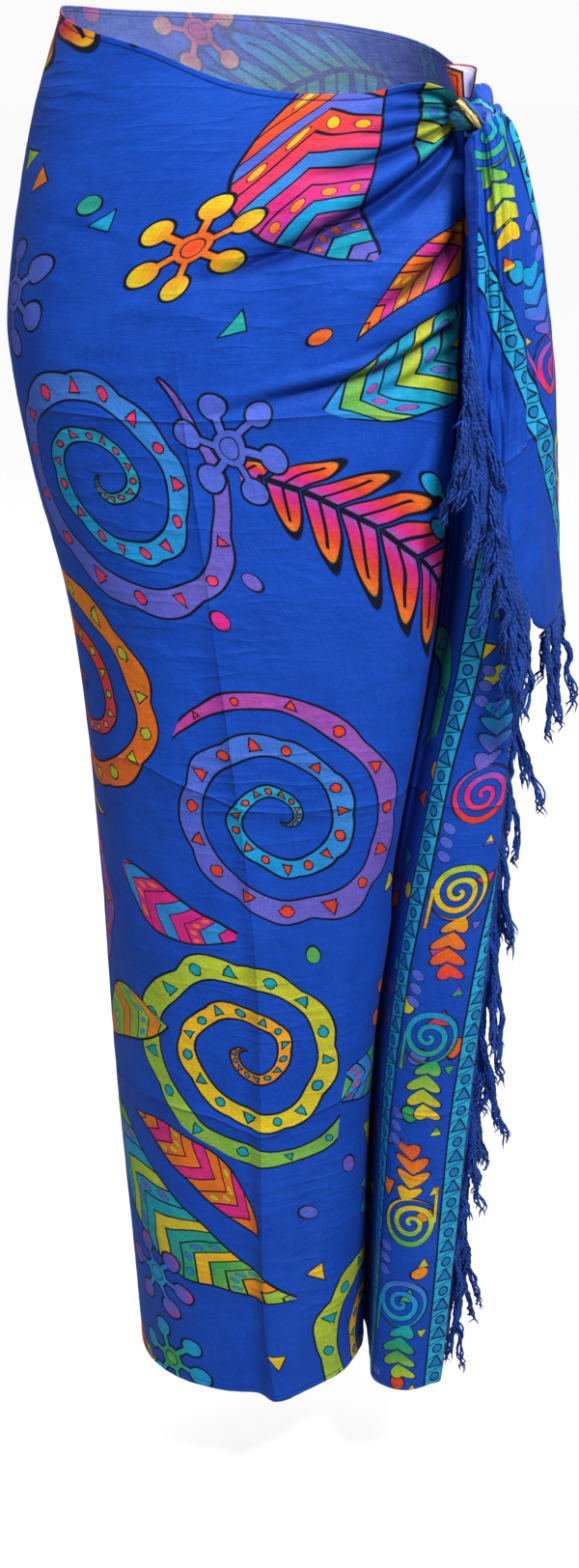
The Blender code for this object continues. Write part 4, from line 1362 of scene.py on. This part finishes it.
knotLook = {
    "middle": Vector((0.1200, -0.0988, -0.0600)),
    "finish": {"Roughness": 0.60, "Specular IOR Level": 0.26, "Sheen Weight": 0.05},
    "radii": Vector((0.0128, 0.0115, 0.0092)),
    "back": 0.0090,
    "coreColours": (
        (0.10, (0.012, 0.150, 0.330)), (0.30, (0.030, 0.300, 0.140)),
        (0.42, (0.008, 0.012, 0.030)), (0.55, (0.015, 0.200, 0.260)),
        (0.68, (0.010, 0.030, 0.200)), (0.90, (0.010, 0.060, 0.420))),
    # the band: its tilt in degrees, and the colours across it
    "bandWidth": 0.0105,
    "bandWall": 0.0028,
    "bandTilt": 40.0,
    "bandInside": Vector((0.0, 0.0122, 0.0103)),
    "bandBack": 0.0097,
    "bandColours": (
        (0.30, (0.006, 0.010, 0.030)), (0.44, (0.006, 0.008, 0.020)), (0.49, (0.850, 0.560, 0.070)),
        (0.62, (0.850, 0.740, 0.400)), (0.74, (0.780, 0.520, 0.080)), (0.80, (0.010, 0.012, 0.030)),
        (0.92, (0.020, 0.120, 0.420))),
    # the loop's rolls: route, radius, how flat it is, and pleats
    "rolls": (
        (((0.1240, -0.0680, -0.0540), (0.1262, -0.0790, -0.0465), (0.1305, -0.0900, -0.0500),
          (0.1350, -0.0990, -0.0660)), 0.0086, 0.95, 4.0),
        (((0.1330, -0.0880, -0.0600), (0.1385, -0.0880, -0.0550), (0.1412, -0.0905, -0.0600),
          (0.1385, -0.0960, -0.0710)), 0.0036, 0.90, 3.0)),
    "flatWay": Vector((0.92, 0.30, 0.25)),
    "loopColours": (
        (0.10, (0.010, 0.080, 0.480)), (0.34, (0.010, 0.060, 0.450)), (0.40, (0.005, 0.008, 0.020)),
        (0.45, (0.020, 0.380, 0.640)), (0.60, (0.060, 0.480, 0.700)), (0.65, (0.005, 0.008, 0.020)),
        (0.70, (0.010, 0.070, 0.470)), (0.95, (0.100, 0.200, 0.560))),
    # the ear: columns and rows, and the turns in degrees between which it curls
    "earGrid": (72, 40),
    "earFoot": Vector((-0.0030, 0.0030, 0.0120)),
    "earHeight": 0.0212,
    "earTurns": (392.0, 88.0),
    "earFinish": {"Roughness": 0.60, "Specular IOR Level": 0.26},
    "earFace": ((0.860, 0.150, 0.020), (0.800, 0.050, 0.030),
                (0.010, 0.010, 0.020), (0.010, 0.010, 0.020)),
    "earReverse": ((0.560, 0.560, 0.740), (0.300, 0.330, 0.600),
                   (0.620, 0.600, 0.760), (0.340, 0.030, 0.060))}


def buildPulled():
    # cloth drawn tight: how far along a way each place lies, unevenly, and fine pleats
    tree, start, finish = newGroup(
        "pulledCloth",
        [("Place", "Vector", None), ("Way", "Vector", None), ("Start", "Float", 0.0),
         ("Loose", "Float", 0.3), ("Pleats", "Vector", None)],
        [("Along", "Float"), ("Height", "Float")])
    at = start.outputs["Place"]
    along = Wire(tree, vectorMath(tree, "DOT_PRODUCT", at, start.outputs["Way"]))
    patches = (grain(tree, at, 240.0, 1.0) - 0.5) * start.outputs["Loose"]
    plug(tree, along - start.outputs["Start"] + patches, finish.inputs["Along"])
    pleats = grain(tree, vectorMath(tree, "MULTIPLY", at, start.outputs["Pleats"]), 1.0)
    plug(tree, pleats * 0.0011 + grain(tree, at, 1400.0) * 0.0002, finish.inputs["Height"])
    return tree


def buildCornerPrint():
    # the printed corner: two tones up the ear, an outline along its edge and the rim itself
    tree, start, finish = newGroup(
        "cornerPrint",
        [("Place", "Vector", None), ("Edges", "Vector", None)]
        + [(label, "Color", None) for label in ("Upper", "Lower", "Line", "Rim")],
        [("Color", "Color")])
    fromSide, fromTop = split(tree, start.outputs["Edges"])[:2]
    patches = grain(tree, start.outputs["Place"], 170.0, 1.0)
    near = fromSide.least(fromTop) + (patches - 0.5) * 0.0016
    share = (fromTop * 55.0 + patches * 0.8).past(0.5)
    colour = mixColours(tree, start.outputs["Upper"], start.outputs["Lower"], share)
    line = (abs(near - 0.0048) - 0.0006).inside(0.0004)
    colour = mixColours(tree, colour, start.outputs["Line"], line)
    colour = mixColours(tree, colour, start.outputs["Rim"], (near - 0.0014).inside(0.0005))
    plug(tree, colour, finish.inputs["Color"])
    return tree


pulledGroup = buildPulled()
cornerGroup = buildCornerPrint()


def knotMaterial(name, colours, way, start, loose, pleats):
    # printed cloth drawn tight, with its colours in turn along a way through the knot
    material, tree, shader = newMaterial(name, knotLook["finish"])
    pulled = useGroup(tree, pulledGroup)
    plug(tree, objectPlace(tree), pulled.inputs["Place"])
    for label, value in zip(("Way", "Start", "Loose", "Pleats"), (way, start, loose, pleats)):
        pulled.inputs[label].default_value = value
    plug(tree, ramp(tree, colours, pulled.outputs["Along"], "EASE"), shader.inputs["Base Color"])
    addBump(tree, shader, pulled.outputs["Height"])
    return material


def makeKnotPiece(name, node, form, material):
    piece = newPiece(name, form, [material])
    takePlace(piece, node)
    return piece


def pinched(angle):
    # narrow creases between rounded rolls
    return 1.0 - abs(math.sin(angle))


def makeKnotCore(look):
    form = bmesh.new()
    bmesh.ops.create_uvsphere(form, u_segments=72, v_segments=48, radius=1.0)
    for vertex in form.verts:
        way = vertex.co.normalized()
        around = math.atan2(way.z, way.x)
        side = 1.0 - way.y ** 2
        crease = 1.0 - 0.10 * pinched(2.5 * around + 0.4) * side
        crease -= 0.05 * pinched(5.5 * around + 2.0 * way.y) * side
        crease += 0.05 * noise.noise(way * 2.4)
        depth = look["back"] if way.y > 0.0 else look["radii"].y
        vertex.co = look["middle"] + Vector(
            (way.x * look["radii"].x, way.y * depth, way.z * look["radii"].z)) * crease
    finish = knotMaterial("knotCoreCloth", look["coreColours"], (62.0, 0.0, 40.0), 4.50, 0.5,
                          (220.0, 60.0, 420.0))
    return makeKnotPiece("knotCore", "knot_core", form, finish)


def makeKnotBand(look):
    # it rides over the hollow: full along one side, pressed in along the other
    form = bmesh.new()
    bmesh.ops.create_grid(form, x_segments=96, y_segments=40, size=0.5)
    tilt = math.radians(look["bandTilt"])
    across = Vector((math.cos(tilt), 0.0, math.sin(tilt)))
    along = Vector((-math.sin(tilt), 0.0, math.cos(tilt)))
    for vertex in form.verts:
        turn = (vertex.co.x + 0.5) * 2.0 * math.pi
        lap = (vertex.co.y + 0.5) * 2.0 * math.pi
        rise = along * math.cos(turn) + Vector((0.0, -1.0, 0.0)) * math.sin(turn)
        depth = look["bandInside"].y if math.sin(turn) > 0.0 else look["bandBack"]
        radius = math.hypot(look["bandInside"].z * math.cos(turn), depth * math.sin(turn))
        top = 0.5 * (1.0 + math.sin(lap))
        side = math.cos(lap)
        fullness = 0.55 + 0.45 * math.tanh(3.0 * (side + 0.15))
        radius += look["bandWall"] * top * (0.35 + 0.75 * fullness)
        radius += 0.0004 * math.cos(9.0 * side + 1.2 * math.sin(turn)) * top
        swell = 0.78 + 0.22 * math.cos(turn) ** 2
        bow = 0.0028 * math.sin(turn) - 0.0008
        vertex.co = look["middle"] + rise * radius + across * (
            0.5 * look["bandWidth"] * swell * side + bow)
    bmesh.ops.remove_doubles(form, verts=form.verts, dist=0.00001)
    bmesh.ops.recalc_face_normals(form, faces=form.faces)
    start = look["middle"].dot(across) * 85.0 - 0.5
    finish = knotMaterial("knotBandCloth", look["bandColours"], across * 85.0, start, 0.22,
                          along * 90.0 + across * 500.0)
    return makeKnotPiece("knotBand", "knot_band", form, finish)


def makeKnotLoop(look):
    form = bmesh.new()
    for route, size, flatness, pleats in look["rolls"]:
        route = np.array(route)
        for vertex in bmesh.ops.create_uvsphere(
                form, u_segments=56, v_segments=48, radius=1.0)["verts"]:
            way = vertex.co.normalized()
            s = math.acos(max(-1.0, min(1.0, way.z))) / math.pi
            centre = Vector([float(smoothValue((0.0, 0.33, 0.67, 1.0), route[:, k], s))
                             for k in range(3)])
            around = math.atan2(way.x, way.y)
            pleat = 1.0 - 0.16 * pinched(0.5 * pleats * around + 0.6 * s)
            pleat -= 0.05 * pinched(5.5 * around + 2.0 * s)
            radius = size * math.sin(math.pi * s) ** 0.6 * pleat
            flat = look["flatWay"] * (flatness * radius * math.cos(around))
            vertex.co = centre + flat + Vector((0.0, 0.0, 0.95 * radius * math.sin(around)))
    finish = knotMaterial("knotLoopCloth", look["loopColours"], (-38.0, -55.0, -52.0), 2.42, 0.35,
                          (300.0, 90.0, 300.0))
    return makeKnotPiece("knotLoop", "knot_loop", form, finish)


def earMaterial(name, colours):
    material, tree, shader = newMaterial(name, knotLook["earFinish"])
    corner = useGroup(tree, cornerGroup)
    plug(tree, uvPlace(tree, "edges"), corner.inputs["Edges"])
    plug(tree, objectPlace(tree), corner.inputs["Place"])
    for label, colour in zip(("Upper", "Lower", "Line", "Rim"), colours):
        corner.inputs[label].default_value = colour + (1.0,)
    plug(tree, corner.outputs["Color"], shader.inputs["Base Color"])
    return material


def makeCornerEar(look):
    columns, rows = look["earGrid"]
    s, v = np.meshgrid(np.linspace(0.0, 1.0, columns + 1), np.linspace(0.0, 1.0, rows + 1),
                       indexing="ij")
    first, last = look["earTurns"]
    bend = np.radians(first + (last - first) * s)
    flare = 0.0040 + 0.0052 * v + 0.0006 * np.sin(9.0 * s + 4.0 * v) * v
    x = flare * np.cos(bend) * 1.20 - 0.0022 * v
    y = -flare * np.sin(bend) * 0.95 + 0.0010 * v
    rise = 0.66 + 0.34 * np.sin(math.pi * np.clip(0.10 + 0.80 * s, 0.0, 1.0)) ** 0.8
    foot = look["middle"] + look["earFoot"]
    points = np.stack([foot.x + x, foot.y + y, foot.z + look["earHeight"] * v * rise], axis=-1)
    flat = np.stack([walked(points, 0), walked(points, 1)], axis=-1)
    fromSide = np.minimum(flat[..., 0], flat[-1:, :, 0] - flat[..., 0])
    edges = np.stack([fromSide, flat[:, -1:, 1] - flat[..., 1]], axis=-1)
    return makeSheet("cornerEar", "corner_ear", points, {"cloth": flat, "edges": edges},
                     np.zeros(s.shape), (earMaterial("earFace", look["earFace"]),
                                         earMaterial("earReverse", look["earReverse"])))


for make in (makeKnotCore, makeKnotBand, makeKnotLoop, makeCornerEar):
    make(knotLook)
print("knot made")


# Fringe: bunches of strands that leave the cloth's edge, draw together, twist and fray

yarnLook = {
    "sides": 5,
    "steps": 24,
    "radius": 0.00112,
    "ring": 0.0016,                # radius of a twisted bunch, to the middle of its strands
    "fray": 0.0030,                # how much wider it grows at its end
    "lead": 0.0045,                # how far a bunch stands off the edge
    "sunk": 0.0012,                # how far each strand starts inside it
    "shadeTone": (0.002, 0.010, 0.090, 1.0),
    "lightTone": (0.016, 0.075, 0.420, 1.0),
    "plies": 260.0,                # turns of the plies, by the strand's own map
    "finish": {"Roughness": 0.55, "Specular IOR Level": 0.3,
               "Specular Tint": (0.35, 0.60, 1.0, 1.0), "Sheen Weight": 0.05}}

fringes = {
    "fallFringe": {
        "node": "fall_fringe", "bunches": 40, "perBunch": 7, "seed": 3, "lengths": (0.078, 0.106),
        "drift": (0.03, -0.03, 0.0), "stray": 0.20,
        "sway": 0.0060, "kink": 0.0014, "crinkle": 0.0003},
    "tailFringe": {
        "node": "tail_fringe", "bunches": 36, "perBunch": 6, "seed": 7, "lengths": (0.066, 0.112),
        "drift": (-0.02, -0.03, 0.0), "stray": 0.16,
        "sway": 0.0060, "kink": 0.0020, "crinkle": 0.0006},
    "tipFringe": {
        "node": "tip_fringe", "bunches": 9, "perBunch": 6, "seed": 11, "lengths": (0.070, 0.100),
        "drift": (0.02, 0.0, 0.0), "stray": 0.10,
        "sway": 0.0050, "kink": 0.0026, "crinkle": 0.0006},
    "endFringe": {
        "node": "end_fringe", "bunches": 46, "perBunch": 5, "seed": 5, "lengths": (0.078, 0.096),
        "drift": (0.02, -0.12, 0.0), "stray": 0.10,
        "sway": 0.0040, "kink": 0.0020, "crinkle": 0.0005}}

# where each fringe starts and ends: heights on the two upright ends, shares of the corner's edge
fringedHeights = {"fallFringe": (-0.998, -0.425), "endFringe": (-0.998, -0.150)}
fringedShares = {"tailFringe": (0.0, 0.62), "tipFringe": (0.72, 1.0)}


def yarnMaterial(look):
    # twisted yarn: slanting plies along each strand, with painted shade in the grooves between
    # them, and strands that differ a little
    material, tree, shader = newMaterial("fringeYarn", look["finish"])
    around, along = split(tree, uvPlace(tree, "strand"))[:2]
    plies = ((around + along * look["plies"]) * (2.0 * math.pi)).math("SINE") * 0.5 + 0.5
    blotch = grain(tree, objectPlace(tree), 90.0, 3.0)
    # the colour follows the plies, as painted shade in their grooves, and a blotchy noise, as the
    # yarn's own uneven tone
    share = (plies * 0.45 + blotch * 0.9).past(0.10)
    plug(tree, mixColours(tree, look["shadeTone"], look["lightTone"], share),
         shader.inputs["Base Color"])
    addBump(tree, shader, plies, 0.7, 0.0004)
    return material


def strandPaths(edge, inner, look):
    # the middle line of every strand, from its root to its end
    steps = yarnLook["steps"]
    q = np.linspace(0.0, 1.0, steps + 1)
    chance = random.Random(look["seed"])
    reach = np.concatenate([[0.0], np.cumsum(np.linalg.norm(np.diff(edge, axis=0), axis=1))])
    reach = reach / reach[-1]

    def onEdge(line, f):
        return np.array([np.interp(f, reach, line[:, k]) for k in range(3)])

    paths = []
    bunches = look["bunches"]
    for bunch in range(bunches):
        middle = (bunch + 0.5 + chance.uniform(-0.25, 0.25)) / bunches
        root = onEdge(edge, middle)
        outward = root - onEdge(inner, middle)
        outward = outward / np.linalg.norm(outward)
        length = chance.uniform(*look["lengths"])
        drift = np.array(look["drift"]) + look["stray"] * np.array(
            [chance.gauss(0.0, 0.6), chance.gauss(0.0, 0.35), 0.0])
        heading = chance.uniform(0.0, 6.28)
        swayWay = np.array([math.cos(heading), math.sin(heading), 0.0])
        kinkWay = np.array([-math.sin(heading), math.cos(heading), 0.0])
        phase = chance.uniform(0.0, 6.28)
        sway = look["sway"] * chance.uniform(0.3, 1.0)
        kink = look["kink"] * chance.uniform(0.4, 1.2)
        pace = chance.uniform(14.0, 24.0)
        twist = chance.uniform(12.0, 22.0)
        drop = length * np.maximum(q - 0.03, 0.0)
        bending = sway * smoothStep(0.1, 0.6, q) * np.sin(phase + 4.6 * q)
        kinking = kink * smoothStep(0.1, 0.4, q) * np.sin(2.0 * phase + pace * q)
        centre = (root + np.outer(yarnLook["lead"] * smoothStep(0.0, 0.2, q), outward)
                  + np.outer(drop * smoothStep(0.0, 0.5, q), drift)
                  + np.outer(bending, swayWay) + np.outer(kinking, kinkWay))
        centre[:, 2] -= drop
        for strand in range(look["perBunch"]):
            f = middle + ((strand + 0.5) / look["perBunch"] - 0.5) * 0.94 / bunches
            ownRoot = onEdge(edge, min(max(f, 0.0), 1.0)) - outward * yarnLook["sunk"]
            gather = smoothStep(0.0, 0.20, q)
            fray = smoothStep(chance.uniform(0.60, 0.85), 1.0, q)
            angle = 6.283 * strand / look["perBunch"] + twist * q * (1.0 - 0.5 * fray)
            ring = yarnLook["ring"] + yarnLook["fray"] * fray * chance.uniform(0.1, 1.0)
            wave = look["crinkle"] * chance.uniform(0.4, 1.4) * smoothStep(0.15, 0.4, q)
            ripple = wave * np.sin(chance.uniform(0.0, 6.28) + q * chance.uniform(30.0, 50.0))
            path = centre + np.outer(1.0 - gather, ownRoot - root)
            path[:, 0] += ring * gather * np.cos(angle) + ripple
            path[:, 1] += ring * gather * np.sin(angle) + ripple * 0.6
            path[:, 2] -= chance.uniform(-0.008, 0.006) * q
            paths.append(path)
    return q, paths


def makeFringe(name, edge, inner, material):
    # each strand is a grid rolled into a thin tube round its path, thinner towards its end
    look = fringes[name]
    q, paths = strandPaths(edge, inner, look)
    sides = yarnLook["sides"]
    steps = yarnLook["steps"]
    thick = yarnLook["radius"] * np.minimum(1.0, 12.0 * (1.0 - q)) * (1.0 - 0.25 * q)
    thick[0] = 0.0
    thick[-1] = 0.0
    form = bmesh.new()
    strandMap = form.loops.layers.uv.new("strand")
    places = {}
    for path in paths:
        walk = np.gradient(path, axis=0)
        walk = walk / np.linalg.norm(walk, axis=1, keepdims=True)
        wide = np.cross(walk, (0.0, 1.0, 0.0))
        wide = wide / np.linalg.norm(wide, axis=1, keepdims=True)
        deep = np.cross(walk, wide)
        grid = bmesh.ops.create_grid(form, x_segments=sides, y_segments=steps, size=0.5)
        for vertex in grid["verts"]:
            i = round((vertex.co.x + 0.5) * sides)
            j = round((vertex.co.y + 0.5) * steps)
            turn = 2.0 * math.pi * i / sides
            vertex.co = path[j] + thick[j] * (wide[j] * math.cos(turn) + deep[j] * math.sin(turn))
            places[vertex] = (i / sides, 0.1 * q[j])
    for quad in form.faces:
        for loop in quad.loops:
            loop[strandMap].uv = places[loop.vert]
    bmesh.ops.remove_doubles(form, verts=form.verts, dist=0.000001)
    piece = newPiece(name, form, [material])
    takePlace(piece, look["node"])
    return piece


def uprightFringe(name, points, column, beside):
    # along an upright end of the cloth, with the line just inside it
    low, high = fringedHeights[name]
    heights = points[column, :, 2]
    keep = (heights > low) & (heights < high)
    return makeFringe(name, points[column][keep], points[beside][keep], yarn)


def cornerFringe(name):
    # along the fringed end of the free corner
    first, last = [round(share * tailLook["columns"]) for share in fringedShares[name]]
    last += fringedShares[name][1] == 1.0
    return makeFringe(name, tailPoints[first:last, 0], tailPoints[first:last, 3], yarn)


yarn = yarnMaterial(yarnLook)
fallFringe = uprightFringe("fallFringe", fallPoints, -1, -4)
endFringe = uprightFringe("endFringe", wrapPoints, 0, 2)
tailFringe = cornerFringe("tailFringe")
tipFringe = cornerFringe("tipFringe")
print("fringes made")


# Studio: a pale floor, soft light and the camera at the photograph's angle

studioLook = {
    "floorZ": -1.185,
    "floorSize": 30.0,
    "floor": {"Base Color": (0.36, 0.36, 0.36, 1.0), "Roughness": 0.8, "Specular IOR Level": 0.2,
              "Emission Color": (1.0, 1.0, 1.0, 1.0)},
    "floorGlow": 0.83,              # seen by the camera alone
    "sky": (1.0, 1.0, 1.0, 1.0),
    "skySeen": 0.96,
    "skyLight": 0.30,
    # name, place, aim, size, power, colour
    "lamps": (
        ("keyLight", (0.9, -1.7, 1.7), (0.0, 0.0, -0.35), 0.6, 96.0, (1.0, 0.99, 0.97)),
        ("sideLight", (-1.6, -1.9, 0.9), (0.0, 0.0, -0.5), 1.0, 11.0, (0.96, 0.98, 1.0)),
        ("backLight", (0.4, 2.2, 1.2), (0.0, 0.0, -0.5), 1.4, 34.0, (1.0, 1.0, 1.0))),
    "cameraPlace": (0.0, -1.57, 0.0),
    "cameraTilt": 20.0,             # degrees below level
    "lens": 48.1,
    "sensorWidth": 36.0,
    "clip": (0.05, 80.0)}


def seenByCamera(tree):
    return Wire(tree, addNode(tree, "ShaderNodeLightPath").outputs["Is Camera Ray"])


def makeFloor(look):
    form = bmesh.new()
    bmesh.ops.create_grid(form, x_segments=4, y_segments=4, size=look["floorSize"])
    bmesh.ops.translate(form, verts=form.verts, vec=(0.0, 0.0, look["floorZ"]))
    material, tree, shader = newMaterial("paleFloor", look["floor"])
    plug(tree, seenByCamera(tree) * look["floorGlow"], shader.inputs["Emission Strength"])
    newPiece("floor", form, [material])


def makeSky(look):
    world = bpy.data.worlds.new("studio")
    world.use_nodes = True
    tree = world.node_tree
    sky = tree.nodes["Background"]
    sky.inputs["Color"].default_value = look["sky"]
    plug(tree, seenByCamera(tree) * (look["skySeen"] - look["skyLight"]) + look["skyLight"],
         sky.inputs["Strength"])
    bpy.context.scene.world = world


def addLamp(name, place, aim, size, power, colour):
    light = bpy.data.lights.new(name, "AREA")
    light.shape = "SQUARE"
    light.size = size
    light.energy = power
    light.color = colour
    lamp = bpy.data.objects.new(name, light)
    bpy.context.collection.objects.link(lamp)
    lamp.location = place
    lamp.rotation_euler = (Vector(aim) - Vector(place)).to_track_quat("-Z", "Y").to_euler()


def addCamera(look):
    camera = bpy.data.cameras.new("photoCamera")
    camera.lens = look["lens"]
    camera.sensor_width = look["sensorWidth"]
    camera.clip_start, camera.clip_end = look["clip"]
    view = bpy.data.objects.new("photoCamera", camera)
    bpy.context.collection.objects.link(view)
    view.location = look["cameraPlace"]
    view.rotation_euler = (math.radians(90.0 - look["cameraTilt"]), 0.0, 0.0)
    bpy.context.scene.camera = view


bpy.context.scene.view_settings.view_transform = "Standard"
makeSky(studioLook)
makeFloor(studioLook)
for lamp in studioLook["lamps"]:
    addLamp(*lamp)
addCamera(studioLook)
print("studio made")
